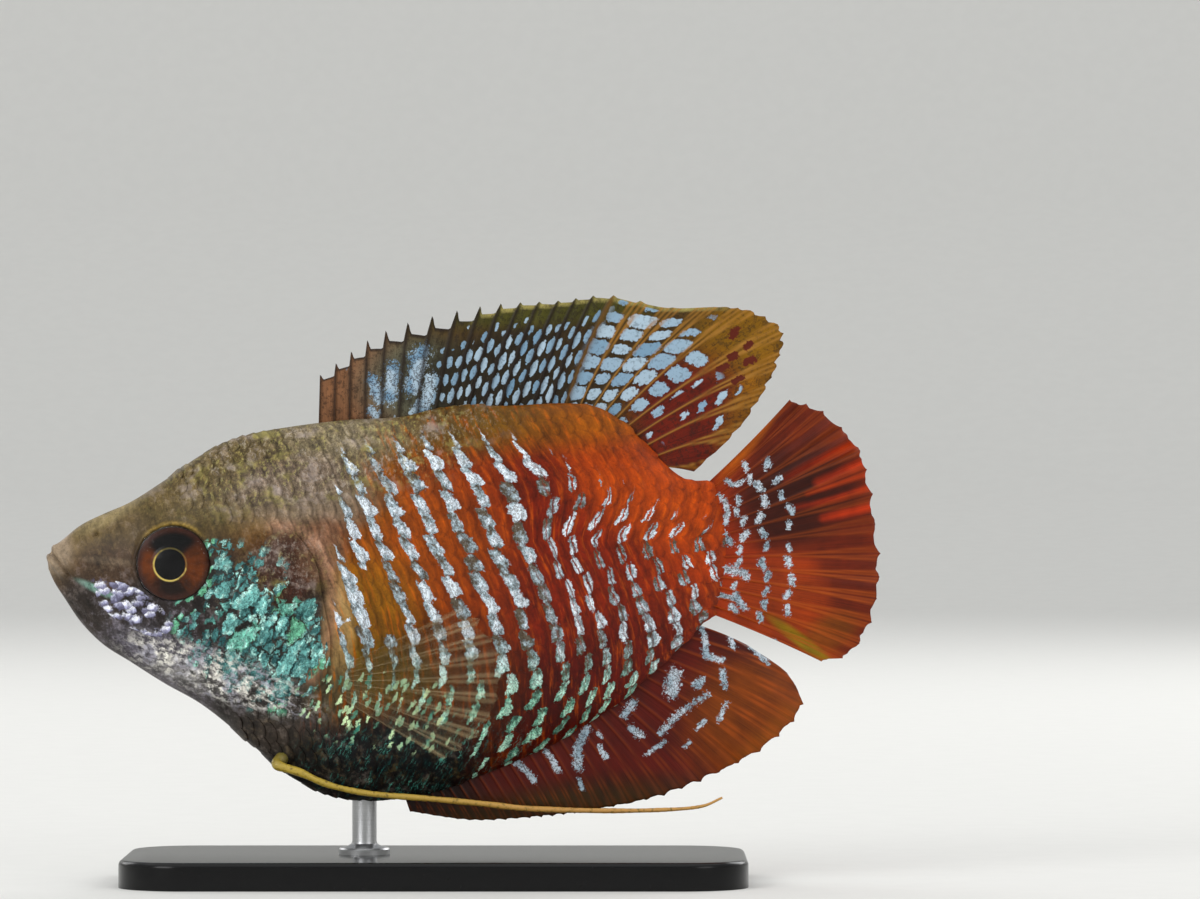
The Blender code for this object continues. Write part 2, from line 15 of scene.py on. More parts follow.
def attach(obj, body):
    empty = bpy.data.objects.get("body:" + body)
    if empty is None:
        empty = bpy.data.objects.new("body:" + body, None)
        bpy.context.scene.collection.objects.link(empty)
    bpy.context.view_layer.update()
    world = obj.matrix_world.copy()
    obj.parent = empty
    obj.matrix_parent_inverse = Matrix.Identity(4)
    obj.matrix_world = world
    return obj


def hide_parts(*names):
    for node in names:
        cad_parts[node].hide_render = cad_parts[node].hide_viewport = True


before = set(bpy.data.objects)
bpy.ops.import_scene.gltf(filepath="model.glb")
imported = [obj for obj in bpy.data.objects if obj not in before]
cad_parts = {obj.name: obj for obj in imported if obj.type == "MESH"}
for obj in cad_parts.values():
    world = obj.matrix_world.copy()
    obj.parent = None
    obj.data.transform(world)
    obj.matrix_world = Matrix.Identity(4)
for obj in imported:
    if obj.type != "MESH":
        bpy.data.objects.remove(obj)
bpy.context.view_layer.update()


# Camera and room
# The fish is looked at square on from its left, a little above the stand, from the photo's distance.
# The room is one pale matt sheet that lies flat under the stand and sweeps up all round it, under
# soft lamps above and on both sides.
MM = 0.001
CAMERA_AWAY, CAMERA_ALONG, CAMERA_UP = 600, 14.8, 38.9
VIEW_WIDTH = 108
SENSOR = 36
SHEET = [(0, 0), (1000, 0), (1180, 26), (1360, 110), (1500, 300), (1560, 640)]
SHEET_STEPS = 96
SHEET_COLOUR, PAPER_GRAIN = "e4e3df", 260.0
LAMPS = [
    # name, place, size, power in watts
    ("lamp_above", (-60, -60, 1200), (1900, 1900), 8.5),
    ("lamp_front_left", (-420, -520, 330), (330, 330), 1.5),
    ("lamp_front_right", (480, -480, 300), (300, 300), 0.6),
    ("lamp_back_right", (420, 520, 360), (330, 330), 1.3),
    ("lamp_back_left", (-460, 480, 320), (300, 300), 0.7),
]
LAMPS_AIM = 30
ROOM_LIGHT, ROOM_COLOUR = 0.55, "eef1f4"


def ink(hexadecimal, strength=1.0):
    """A paint from its screen colour, in the linear values that the shaders use."""
    parts = [int(hexadecimal[n:n + 2], 16) / 255 for n in (0, 2, 4)]
    linear = [p / 12.92 if p <= 0.04045 else ((p + 0.055) / 1.055) ** 2.4 for p in parts]
    return (*[strength * part for part in linear], 1.0)


class Finish:
    """A material whose shader is put together node by node."""

    def __init__(self, name):
        self.material = bpy.data.materials.new(name)
        self.material.use_nodes = True
        self.tree = self.material.node_tree
        self.shader = self.tree.nodes["Principled BSDF"]

    def node(self, kind, settings=None, **sockets):
        """A node. Settings are its menu choices, sockets its inputs by name."""
        made = self.tree.nodes.new("ShaderNode" + kind)
        for name, value in (settings or {}).items():
            setattr(made, name, value)
        for name, value in sockets.items():
            self.feed(made.inputs[name.replace("_", " ")], value)
        return made

    def feed(self, socket, value):
        if isinstance(value, bpy.types.NodeSocket):
            self.tree.links.new(value, socket)
        else:
            socket.default_value = value

    def sum(self, operation, *values, clamp=False):
        made = self.tree.nodes.new("ShaderNodeMath")
        made.operation = operation
        made.use_clamp = clamp
        for socket, value in zip(made.inputs, values):
            self.feed(socket, value)
        return made.outputs[0]

    def times(self, *values, clamp=False):
        return self.sum("MULTIPLY", *values, clamp=clamp)

    def plus(self, *values):
        return self.sum("ADD", *values)

    def less(self, *values):
        return self.sum("SUBTRACT", *values)

    def most(self, *values):
        return self.sum("MAXIMUM", *values)

    def least(self, *values):
        return self.sum("MINIMUM", *values)

    def power(self, *values):
        return self.sum("POWER", *values)

    def scaled(self, value, by, added, clamp=False):
        return self.sum("MULTIPLY_ADD", value, by, added, clamp=clamp)

    def vector(self, operation, first, second=None, scale=None):
        made = self.tree.nodes.new("ShaderNodeVectorMath")
        made.operation = operation
        self.feed(made.inputs[0], first)
        if second is not None:
            self.feed(made.inputs[1], second)
        if scale is not None:
            self.feed(made.inputs["Scale"], scale)
        return made.outputs["Value" if operation in ("LENGTH", "DOT_PRODUCT") else "Vector"]

    def stretched(self, place, by):
        return self.vector("MULTIPLY", place, by)

    def along(self, place, direction):
        return self.vector("DOT_PRODUCT", place, direction)

    def place(self):
        """Where a point is, in millimetres."""
        return self.vector("SCALE", self.node("TexCoord").outputs["Object"], scale=1 / MM)

    def point(self, x, y, z=0.0):
        return self.node("CombineXYZ", X=x, Y=y, Z=z).outputs[0]

    def parts(self, colour):
        return self.node("SeparateColor", Color=colour).outputs[0:3]

    def sides(self, place):
        return self.node("SeparateXYZ", Vector=place).outputs[0:3]

    def read(self, name, kind):
        """What was painted on the mesh under a name."""
        return self.node("Attribute", {"attribute_name": name}).outputs[kind]

    def channels(self, name):
        """The four values of a colour painted on the mesh under a name."""
        painted = self.node("Attribute", {"attribute_name": name})
        return (*self.parts(painted.outputs["Color"]), painted.outputs["Alpha"])

    def mix(self, share, first, second):
        """Two colours, by the share of the second. A colour mix has its sockets at these numbers."""
        made = self.node("Mix", {"data_type": "RGBA"})
        for number, value in ((0, share), (6, first), (7, second)):
            self.feed(made.inputs[number], value)
        return made.outputs[2]

    def toned(self, colour, value, richness=1.0):
        made = self.node("HueSaturation", Color=colour, Value=value, Saturation=richness)
        return made.outputs[0]

    def ramp(self, value, low, high):
        """0 below low and 1 above high, smooth in between. It runs down if low is the larger."""
        made = self.node("MapRange", {"interpolation_type": "SMOOTHSTEP"})
        turned = not isinstance(low, bpy.types.NodeSocket) and low > high
        bounds = (high, low, 1.0, 0.0) if turned else (low, high, 0.0, 1.0)
        for socket, bound in zip(made.inputs[0:5], (value, *bounds)):
            self.feed(socket, bound)
        return made.outputs[0]

    def noise(self, place, scale, detail=2.0, rough=0.5):
        made = self.node("TexNoise", Vector=place, Scale=scale, Detail=detail, Roughness=rough)
        return made.outputs

    def sway(self, place, scale, detail=2.0, rough=0.5):
        """A noise that pushes places to all sides."""
        return self.vector("SUBTRACT", self.noise(place, scale, detail, rough)[1], (0.5, 0.5, 0.5))

    def veins(self, noise, low, high):
        """Fine lines, drawn where a noise is near its middle value."""
        return self.ramp(self.sum("ABSOLUTE", self.less(noise, 0.5)), low, high)

    def cells(self, feature, place, scale):
        return self.node("TexVoronoi", {"feature": feature}, Vector=place, Scale=scale).outputs

    def draws(self, cell):
        """Three chance values from 0 to 1 for each cell of a pattern."""
        made = self.node("TexWhiteNoise", {"noise_dimensions": "3D"}, Vector=cell)
        return self.parts(made.outputs["Color"])

    def surface(self, **sockets):
        """Sets the shader's own sockets."""
        for name, value in sockets.items():
            self.feed(self.shader.inputs[name.replace("_", " ")], value)
        return self.material

    def bumped(self, height, distance, strength=1.0):
        made = self.node("Bump", Height=height, Distance=distance, Strength=strength)
        return made.outputs["Normal"]


def in_scene(name, data):
    made = bpy.data.objects.new(name, data)
    bpy.context.scene.collection.objects.link(made)
    return made


def profile_line(work, points):
    corners = [work.verts.new(point) for point in points]
    return corners, [work.edges.new(pair) for pair in zip(corners, corners[1:])]


def turned_round(work, geom, axis, steps, centre=(0, 0, 0)):
    """A profile spun one full turn, closed on itself."""
    bmesh.ops.spin(
        work, geom=geom, cent=centre, axis=axis, angle=2 * math.pi, steps=steps, use_merge=True,
    )


def as_mesh(work, name):
    mesh = bpy.data.meshes.new(name)
    work.to_mesh(mesh)
    work.free()
    return mesh


def turned_sheet():
    work = bmesh.new()
    corners, lines = profile_line(work, [(radius * MM, 0, height * MM) for radius, height in SHEET])
    turned_round(work, corners + lines, (0, 0, 1), SHEET_STEPS)
    bmesh.ops.remove_doubles(work, verts=work.verts, dist=0.01 * MM)
    bmesh.ops.recalc_face_normals(work, faces=work.faces)
    mesh = as_mesh(work, "paper_sheet")
    mesh.shade_smooth()
    return in_scene("paper_sheet", mesh)


paper = Finish("pale_paper")
paper_grain = paper.noise(paper.node("TexCoord").outputs["Object"], PAPER_GRAIN, 4.0)[0]
paper.surface(
    Base_Color=paper.mix(
        paper.ramp(paper_grain, 0.3, 0.7), ink(SHEET_COLOUR, 0.992), ink(SHEET_COLOUR, 1.008)),
    Roughness=0.9, Normal=paper.bumped(paper_grain, 0.01 * MM),
)
room_sheet = turned_sheet()
room_sheet.data.materials.append(paper.material)

room_camera = in_scene("camera", bpy.data.cameras.new("camera"))
room_camera.data.sensor_width = SENSOR
room_camera.data.lens = SENSOR * CAMERA_AWAY / VIEW_WIDTH
room_camera.data.clip_start, room_camera.data.clip_end = 0.01, 10.0
room_camera.location = (CAMERA_ALONG * MM, -CAMERA_AWAY * MM, CAMERA_UP * MM)
room_camera.rotation_euler = (math.pi / 2, 0, 0)
bpy.context.scene.camera = room_camera

for lamp_name, lamp_place, lamp_size, lamp_power in LAMPS:
    lamp = bpy.data.lights.new(lamp_name, "AREA")
    lamp.shape = "RECTANGLE"
    lamp.size, lamp.size_y = (side * MM for side in lamp_size)
    lamp.energy = lamp_power
    hung = in_scene(lamp_name, lamp)
    hung.location = Vector(lamp_place) * MM
    towards = Vector((0, 0, LAMPS_AIM * MM)) - hung.location
    hung.rotation_euler = towards.to_track_quat("-Z", "Y").to_euler()

room = bpy.data.worlds.new("room")
room.use_nodes = True
room.node_tree.nodes["Background"].inputs["Color"].default_value = ink(ROOM_COLOUR)
room.node_tree.nodes["Background"].inputs["Strength"].default_value = ROOM_LIGHT
bpy.context.scene.world = room
bpy.context.scene.view_settings.view_transform = "Standard"


# Skin
# One piece of scaly skin from lips to tail root, over the solid head, torso and tail stalk. It is
# drawn over the fish's own sections and lies a scale's thickness inside the solids, with the lips,
# the line of the mouth, the nostrils, the eye's rim and the cheek's bone edges raised in it.
KEEL_HEIGHT, ORIGIN_BEHIND_SNOUT = 5.5, 35.0
BEND_START, BEND_RATE = 33.0, 0.0013
SCALE_COAT = 0.14
BODY = np.array([
    # x, height of the back, height of the belly, half width
    (0.0, 23.5, 22.7, 0.70), (0.6, 24.7, 21.4, 1.20), (1.5, 25.5, 20.0, 1.65),
    (3.0, 26.7, 17.8, 2.30), (5.0, 27.7, 15.8, 3.00), (7.5, 28.8, 14.2, 3.70),
    (10.5, 30.7, 12.3, 4.30), (14.0, 33.1, 10.3, 4.85), (18.0, 34.8, 7.1, 5.25),
    (22.0, 35.6, 3.8, 5.45), (27.0, 36.2, 1.8, 5.45), (32.0, 36.5, 1.9, 5.25),
    (37.0, 37.4, 3.2, 4.75), (42.0, 37.5, 5.1, 4.15), (47.0, 37.7, 7.6, 3.40),
    (50.0, 37.2, 9.4, 2.90), (52.5, 35.5, 11.3, 2.50), (55.0, 32.9, 13.5, 2.15),
    (57.5, 30.9, 15.9, 1.75), (60.0, 30.6, 18.4, 1.40),
])
WIDEST_AT = 0.53
KEEL_HALF = [(0.0, 0.30), (6.0, 0.50), (50.0, 0.55), (60.0, 0.60)]
BACK_FULLNESS = [(0.0, 0.50), (12.0, 0.52), (30.0, 0.62), (60.0, 0.60)]
BELLY_FULLNESS = [(0.0, 0.50), (14.0, 0.55), (26.0, 0.50), (40.0, 0.66), (60.0, 0.60)]
BODY_END = 60.0
SKIN_AROUND = 232
SKIN_STATIONS = [
    # share of the rings from front to rear, how far behind the snout
    (0.0, 0.02), (0.03, 0.34), (0.52, 22.0), (0.95, 58.6), (1.0, 61.0),
]
SKIN_RINGS = 344
NOSE_SHARE, TAIL_START = 0.03, 58.2
EYE_PLACE, EYE_RADIUS = (11.7, 23.2), 3.35
NOSTRIL_PLACE = (4.5, 25.9)
MOUTH_FRONT, MOUTH_CORNER = (-0.3, 25.0), (1.95, 22.35)


def through(keys, at):
    """The smooth curve through (place, value) keys, read at many places at once."""
    places = np.array([key[0] for key in keys], float)
    values = np.array([key[1] for key in keys], float)
    count = len(places)
    low, high = np.maximum(np.arange(count) - 1, 0), np.minimum(np.arange(count) + 1, count - 1)
    wide = [count] + [1] * (values.ndim - 1)
    slopes = (values[high] - values[low]) / (places[high] - places[low]).reshape(wide)
    at = np.clip(np.asarray(at, float), places[0], places[-1])
    n = np.clip(np.searchsorted(places, at, side="right") - 1, 0, count - 2)
    span = places[n + 1] - places[n]
    f = (at - places[n]) / span
    if values.ndim > 1:
        span, f = span[..., None], f[..., None]
    return (
        values[n] * (2 * f**3 - 3 * f**2 + 1)
        + slopes[n] * (span * (f**3 - 2 * f**2 + f))
        + values[n + 1] * (3 * f**2 - 2 * f**3)
        + slopes[n + 1] * (span * (f**3 - f**2))
    )


def back(x):
    return through(BODY[:, (0, 1)], x)


def belly(x):
    return through(BODY[:, (0, 2)], x)


def half_width(x):
    return through(BODY[:, (0, 3)], x)


def flank_at_angle(x, angle):
    """Height and half width of the body's surface at an angle above its widest level."""
    low, high = belly(x), back(x)
    middle = low + WIDEST_AT * (high - low)
    rise = np.where(angle > 0, high, low) - middle
    fullness = np.where(angle > 0, through(BACK_FULLNESS, x), through(BELLY_FULLNESS, x))
    keel = through(KEEL_HALF, x)
    spread = np.maximum(np.cos(angle), 0.0) ** (2 * fullness)
    return middle + rise * np.abs(np.sin(angle)), keel + (half_width(x) - keel) * spread


def flank(x, z):
    """Half width of the body at points of the side view."""
    low, high = belly(x), back(x)
    middle = low + WIDEST_AT * (high - low)
    share = np.where(z > middle, (z - middle) / (high - middle), (z - middle) / (middle - low))
    return flank_at_angle(x, np.arcsin(np.clip(share, -1.0, 1.0)))[1]


def on_flank(x, z, side, out=0.0):
    """Points of the side view carried out to the body's surface, and on along its normal."""
    x, z = np.asarray(x, float), np.asarray(z, float)
    step = 0.1
    along = (flank(x + step, z) - flank(x - step, z)) / (2 * step)
    up = (flank(x, z + step) - flank(x, z - step)) / (2 * step)
    normal = np.stack([-along, side * np.ones_like(along), -up], -1)
    normal /= np.linalg.norm(normal, axis=-1, keepdims=True)
    return np.stack([x, side * flank(x, z), z], -1) + normal * np.asarray(out)[..., None]


def placed(points):
    """Points of the fish, in millimetres, on its stand in metres, with the tail's swing."""
    points = np.array(points, float)
    points[..., 1] += BEND_RATE * np.maximum(points[..., 0] - BEND_START, 0.0) ** 2
    return (points + (-ORIGIN_BEHIND_SNOUT, 0, KEEL_HEIGHT)) * MM


def laid_out(points):
    """The other way round: points of the stand's frame as places on the fish."""
    points = np.array(points, float) / MM - (-ORIGIN_BEHIND_SNOUT, 0, KEEL_HEIGHT)
    points[..., 1] -= BEND_RATE * np.maximum(points[..., 0] - BEND_START, 0.0) ** 2
    return points


def corners_of(mesh):
    out = np.empty(3 * len(mesh.vertices))
    mesh.vertices.foreach_get("co", out)
    return out.reshape(-1, 3)


def normals_of(mesh):
    out = np.empty(3 * len(mesh.vertices))
    mesh.vertex_normals.foreach_get("vector", out)
    return out.reshape(-1, 3)


def set_corners(mesh, points):
    mesh.vertices.foreach_set("co", np.asarray(points, np.float32).ravel())
    mesh.update()


def soft_step(value, low, high):
    share = np.clip((np.asarray(value, float) - low) / (high - low), 0.0, 1.0)
    return share * share * (3 - 2 * share)


def linked(name, mesh, finish, slot, *nodes):
    """Makes a finished mesh a piece of the model, with its paint and the solids it stands for."""
    mesh.materials.append(finish)
    made = in_scene(name, mesh)
    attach(made, "root")
    if nodes:
        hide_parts(*nodes)
    return made


def from_work(work, name, smooth=60):
    """A bmesh as a mesh, merged, with its faces outwards."""
    bmesh.ops.remove_doubles(work, verts=work.verts, dist=0.0005 * MM)
    bmesh.ops.dissolve_degenerate(work, edges=work.edges, dist=0.0001 * MM)
    bmesh.ops.recalc_face_normals(work, faces=work.faces)
    mesh = as_mesh(work, name)
    mesh.shade_smooth()
    mesh.set_sharp_from_angle(angle=math.radians(smooth))
    return mesh


def corners_in(work):
    return np.array([corner.co for corner in work.verts])


def put_corners(work, points):
    """Moves a bmesh's corners to points of the fish."""
    for corner, point in zip(work.verts, placed(points)):
        corner.co = point


def line_distance(x, z, start, end):
    """How far points are to one side of a line of the side view, and along it as a share."""
    run = np.array(end) - np.array(start)
    length = np.hypot(*run)
    along = ((x - start[0]) * run[0] + (z - start[1]) * run[1]) / length**2
    across = ((x - start[0]) * run[1] - (z - start[1]) * run[0]) / length
    return across, along


def bulge(distance, width):
    return np.exp(-(distance / width) ** 2)


def route_distance(x, z, route, steps=60):
    """How far points of the side view are from a smooth route through given places."""
    dots = through(list(enumerate(route)), np.linspace(0, len(route) - 1, steps))
    near = np.full(x.shape, 1e9)
    for spot in dots:
        near = np.minimum(near, (x - spot[0]) ** 2 + (z - spot[1]) ** 2)
    return np.sqrt(near)


JAW_PLATE = [(1.9, 22.6), (2.7, 21.6), (4.2, 20.9), (5.6, 20.8)]
CHIN_LINE = [(2.2, 19.6), (4.6, 17.6), (7.6, 15.7), (11.5, 14.2)]
CHEEK_EDGE = [(19.2, 21.6), (20.3, 19.2), (20.5, 16.6), (19.2, 14.2), (16.6, 12.6), (13.0, 12.2)]
BROW = [(8.6, 25.4), (10.2, 26.9), (12.2, 27.25), (14.2, 26.5)]


def relief(x, z):
    """How far the head's own forms stand out of the skin, in millimetres."""
    across, along = line_distance(x, z, MOUTH_FRONT, MOUTH_CORNER)
    in_mouth = 1 - soft_step(along, 0.93, 1.25)
    up = 0.30 * bulge(across - 0.42, 0.34) + 0.22 * bulge(across + 0.44, 0.34)
    out = in_mouth * (up - 0.34 * bulge(across, 0.10))
    away = np.hypot(x - NOSTRIL_PLACE[0], z - NOSTRIL_PLACE[1])
    out += 0.07 * bulge(away - 0.42, 0.14) - 0.34 * bulge(away, 0.22)
    behind = np.hypot(x - NOSTRIL_PLACE[0] - 1.25, z - NOSTRIL_PLACE[1] - 0.35)
    out += 0.03 * bulge(behind - 0.3, 0.12) - 0.16 * bulge(behind, 0.16)
    eye = np.hypot(x - EYE_PLACE[0], z - EYE_PLACE[1])
    out += 0.16 * bulge(eye - EYE_RADIUS - 0.22, 0.22) - 1.5 * (1 - soft_step(eye, 2.95, 3.36))
    out -= 0.10 * bulge(route_distance(x, z, JAW_PLATE), 0.18)
    out -= 0.08 * bulge(route_distance(x, z, CHIN_LINE), 0.20)
    out -= 0.16 * bulge(route_distance(x, z, CHEEK_EDGE), 0.17)
    out += 0.10 * bulge(route_distance(x, z, BROW), 0.45)
    return out


def skin_mesh():
    work = bmesh.new()
    ends = [work.verts.new((0, 0, -1)), work.verts.new((1, 0, -1))]
    line = work.edges.new(ends)
    bmesh.ops.subdivide_edges(work, edges=[line], cuts=SKIN_RINGS - 1)
    turned_round(work, work.verts[:] + work.edges[:], (1, 0, 0), SKIN_AROUND)
    share, across, high = corners_in(work).T
    x = through(SKIN_STATIONS, share)
    at = np.clip(x, 0.12, BODY_END)
    z, y = flank_at_angle(at, np.arcsin(np.clip(high, -1.0, 1.0)))
    y = y * np.sign(np.where(np.abs(across) < 1e-5, 0.0, across))
    nose = np.sin(np.clip(share / NOSE_SHARE, 0, 1) * math.pi / 2)
    middle = (back(at) + belly(at)) / 2
    z = middle + (z - middle) * nose
    taper = np.clip((x - TAIL_START) / (SKIN_STATIONS[-1][1] - TAIL_START), 0, 1)
    off_middle = np.clip((z - middle) / (back(at) - middle), -1, 1)
    x = x + taper**2 * 1.1 * (1 - off_middle**2) - 0.5 * taper**3
    y = y * nose * (1 - taper**2.2)
    z = middle + (z - middle) * (1 - 0.05 * taper**2)
    put_corners(work, np.stack([x, y, z], -1))
    return from_work(work, "skin")


skin = skin_mesh()
skin_places = laid_out(corners_of(skin))
skin_out = relief(skin_places[:, 0], skin_places[:, 2]) - SCALE_COAT
skin_out *= soft_step(skin_places[:, 0], -1.0, 0.3)
set_corners(skin, corners_of(skin) + normals_of(skin) * (skin_out * MM)[:, None])


# Markings
# The colours are airbrushed in soft passes, olive over the head, gold to red over the flank, with
# near-black painted shade under the breast and belly. Over them lie silver flecks, one to a scale
# along slanting bars, turquoise plates on the cheek and gill cover, and pearly flecks below the eye.
# Skin and scales are painted alike.
FLANK_INK = [
    (24.0, "7a4e12"), (30.0, "9c4e08"), (37.0, "963a06"),
    (44.0, "7e1e03"), (52.0, "8a2202"), (60.0, "b03a02"),
]
PASSES = [
    # name, place, half length, half height, lean in degrees, softness, ink, strength
    ("rear_low", (50, 11), 13, 6, 35, 0.9, "5a0c02", 0.85),
    ("mid_low", (42, 8), 9, 7, 20, 0.9, "4e0d04", 0.85),
    # painted light: the middle of the flank is made lighter, as if lit from above
    ("mid_flank_painted_light", (33, 25), 8, 5, 0, 1.0, "a04a12", 0.55),
    ("front_gold", (29, 17), 5, 7, 0, 1.0, "96640f", 0.80),
    ("pectoral_shade", (35.5, 12.5), 7, 6, 0, 1.0, "46260b", 0.80),
    ("axil_olive", (30.5, 13.4), 5, 3, -10, 0.9, "5a5020", 0.65),
    ("rump_orange", (54, 30), 8, 4.5, -30, 1.0, "c24a06", 0.80),
    ("back_gold", (46, 36.5), 13, 3.0, 3, 1.0, "9a560a", 0.80),
    ("back_brown", (33, 36), 12, 3.2, 2, 1.0, "6b5430", 0.95),
    ("nape", (22, 33), 10, 6, 12, 0.8, "75664a", 0.97),
    ("forehead", (13, 30), 10, 6, 28, 0.8, "66552f", 0.97),
    ("nape_mauve", (22.5, 30.6), 5.5, 2.2, 10, 1.0, "776458", 0.85),
    ("nape_light", (27.5, 34.6), 6.0, 2.0, 3, 1.0, "8c7e60", 0.80),
    ("shoulder_pink", (24.5, 29.0), 6.5, 3.2, -6, 0.9, "7c6a56", 0.92),
    ("shoulder_brown", (25.6, 25.0), 3.0, 2.2, -10, 0.9, "6c3c20", 0.80),
    ("cheek_dark", (14, 18), 11, 8, -12, 0.7, "292627", 0.97),
    ("gill_dark", (22, 17), 5.4, 7, 10, 0.7, "232421", 0.97),
    ("gill_brown", (21.8, 22.8), 3.2, 3.6, -20, 0.7, "3f1f12", 0.95),
    ("gill_rim", (25.1, 24.2), 2.0, 2.6, -30, 0.8, "7d5a42", 0.75),
    ("snout", (4, 25), 5.4, 3.4, 28, 0.7, "6a5838", 0.97),
    # painted highlight along the top of the snout, then painted shade in front of the eye
    ("snout_top_highlight", (5.4, 27.4), 3.4, 0.8, 28, 1.0, "94835a", 0.75),
    ("snout_shade", (8.0, 25.6), 2.4, 1.6, 20, 1.0, "4a3a22", 0.60),
    ("snout_tip", (0.8, 24.2), 1.7, 2.2, 0, 0.8, "a08c74", 0.90),
    ("before_eye", (5.6, 22.8), 3.8, 2.3, 8, 0.8, "4c3828", 0.92),
    ("cheek_line", (5.8, 23.4), 2.6, 0.35, -4, 0.9, "7d6a54", 0.60),
    # painted shade over the lower jaw, as under light from above
    ("lower_jaw_painted_shade", (5.0, 18.2), 5.6, 2.6, -38, 0.7, "37302c", 0.97),
    ("throat", (12, 13), 7, 3.2, -32, 0.8, "5b565c", 0.85),
    ("throat_silver", (14.8, 13.2), 6, 1.7, -20, 0.8, "aaa7a2", 0.75),
    ("teal_streak", (4.7, 20.9), 1.9, 0.32, -24, 0.9, "86b4a4", 0.75),
    ("cheek_grey", (10.6, 15.6), 4.4, 1.5, -16, 0.9, "625f6c", 0.65),
    ("breast", (21, 8), 8, 4.5, -30, 0.8, "34302c", 0.95),
    ("shoulder_cream", (26.6, 17.4), 1.5, 5.2, -4, 0.8, "b39468", 0.92),
    ("shoulder_low", (26.5, 11.5), 3.0, 2.5, -10, 0.9, "57503a", 0.80),
    # painted shade: the underside of the belly is near black, and its lowest edge dark
    ("belly_painted_shade", (31, 5), 9, 5.4, 4, 0.7, "0a0f12", 0.99),
    ("belly_edge_painted_shade", (24, 3.2), 9, 2.4, -16, 0.8, "1c1b1a", 0.95),
]
SILVER_FADES = [
    # place, half length, half height, lean in degrees, softness, share of the silver taken away
    ((30, 4.5), 10, 5.2, 6, 0.8, 1.0),
    ((29.9, 19.8), 3.4, 0.95, -74, 0.4, 1.0),
    ((28.3, 19.4), 2.9, 1.2, -80, 0.6, -0.9),
    ((36, 11.5), 5, 5, 0, 1.0, 0.45),
    ((29.5, 10.5), 4.5, 4.5, 0, 1.0, 0.60),
]
MARK_SPOTS = {
    # where each kind of mark lies: place, half length, half height, lean in degrees, softness
    "plates": ((19.5, 17.6), 8.0, 6.6, -32, 0.55),
    "plates_thin_out": ((22.2, 23.2), 3.1, 3.4, -20, 0.6),
    "plates_behind_eye": ((17.2, 20.8), 5.0, 2.2, -62, 0.7),
    "pearl": ((7.9, 19.3), 4.0, 1.7, -29, 0.45),
    "throat": ((15.6, 13.2), 8.6, 2.1, -19, 0.8),
    "nape_speckle": ((25, 33.4), 15, 4.8, 12, 0.8),
    "gill_speckle": ((22.0, 23.4), 3.4, 3.2, -20, 0.9),
    "teal": ((30.5, 10.0), 7.5, 3.2, -8, 0.7),
    "hairs": ((33.5, 5.6), 10.5, 4.2, 4, 0.7),
    "cool": ((11.0, 15.6), 10.5, 5.4, -28, 0.8),
    "dark_breast": ((31, 5), 10, 5, 4, 0.8),
}
POINT_KINDS = {1: ("FLOAT", "value"), 3: ("FLOAT_VECTOR", "vector"), 4: ("FLOAT_COLOR", "color")}
# a gold painted highlight above the eye: how far out of the eye's rim, its half width, its gold
LID_OUT, LID_HALF, LID_HIGHLIGHT_GOLD = 0.26, 0.14, "b8963c"
GILL_RIM = [
    (20.6, 26.6), (23.2, 26.1), (25.0, 24.2), (25.8, 21.2), (25.8, 17.8), (25.1, 14.8), (24.0, 13.0),
]
GILL_RIM_HALF, GILL_RIM_PINK = 0.50, "b08468"
BAR_LEVEL, FRONT_PITCH, REAR_PITCH = 25.29, 2.1, 2.6
BARS = [
    27.86, 29.84, 32.27, 34.88, 37.58, 40.19, 42.80, 44.96, 46.76, 48.92, 50.99, 53.51, 55.94, 58.55,
]
BAR_LEAN_BELOW = [(-8, 3.60), (7.2, 3.60), (14.4, 3.42), (18.09, 2.79), (21.7, 1.55), (25.29, 0.0)]
BAR_LEAN_FRONT = [(25.29, 0.0), (30.69, -1.89), (34.29, -3.6), (38.0, -5.2)]
BAR_LEAN_REAR = [(25.29, 0.0), (29.79, 1.17), (33.4, -0.45), (38.0, -2.3)]
ROW_PITCH, FULL_HEIGHT, EDGE_CURL = 1.95, 34.0, 0.13
ROW_LEVEL = [(20.0, 19.8), (32.0, 19.6), (44.0, 21.3), (52.0, 23.2), (60.0, 24.4)]
BAR_TOPS = [
    (24, 33.5), (30, 34.6), (40, 35.2), (44, 34.0), (48, 32.2), (52, 30.6), (56, 28.6), (60, 27.5),
]


def lean_of(z, x):
    """How far back a bar leans at a height, from its place at the middle level."""
    front, rear = through(BAR_LEAN_FRONT, z), through(BAR_LEAN_REAR, z)
    above = front + (rear - front) * soft_step(x, 37.5, 51.0)
    return np.where(z < BAR_LEVEL, through(BAR_LEAN_BELOW, z), above)


def row_pitch(x):
    return ROW_PITCH * ((back(x) - belly(x)) / FULL_HEIGHT) ** 0.35


def row_of(x, z):
    """Rows of scales counted from the middle. They crowd together where the flank curls under."""
    low, high = belly(x), back(x)
    middle = low + WIDEST_AT * (high - low)
    rise = np.where(z > middle, high - middle, middle - low)
    curl = EDGE_CURL * np.clip((z - middle) / rise, -1, 1) ** 9 * rise
    return (z + curl - through(ROW_LEVEL, x)) / row_pitch(x)


def bars_and_rows(x, z):
    """Where points are in the pattern: bars count from the front, rows of scales from the middle."""
    upright = x - lean_of(z, x)
    first, last = BARS[0], BARS[-1]
    bar = np.interp(upright, BARS, np.arange(len(BARS)))
    bar = np.where(upright < first, (upright - first) / FRONT_PITCH, bar)
    bar = np.where(upright > last, len(BARS) - 1 + (upright - last) / REAR_PITCH, bar)
    return bar, row_of(x, z)


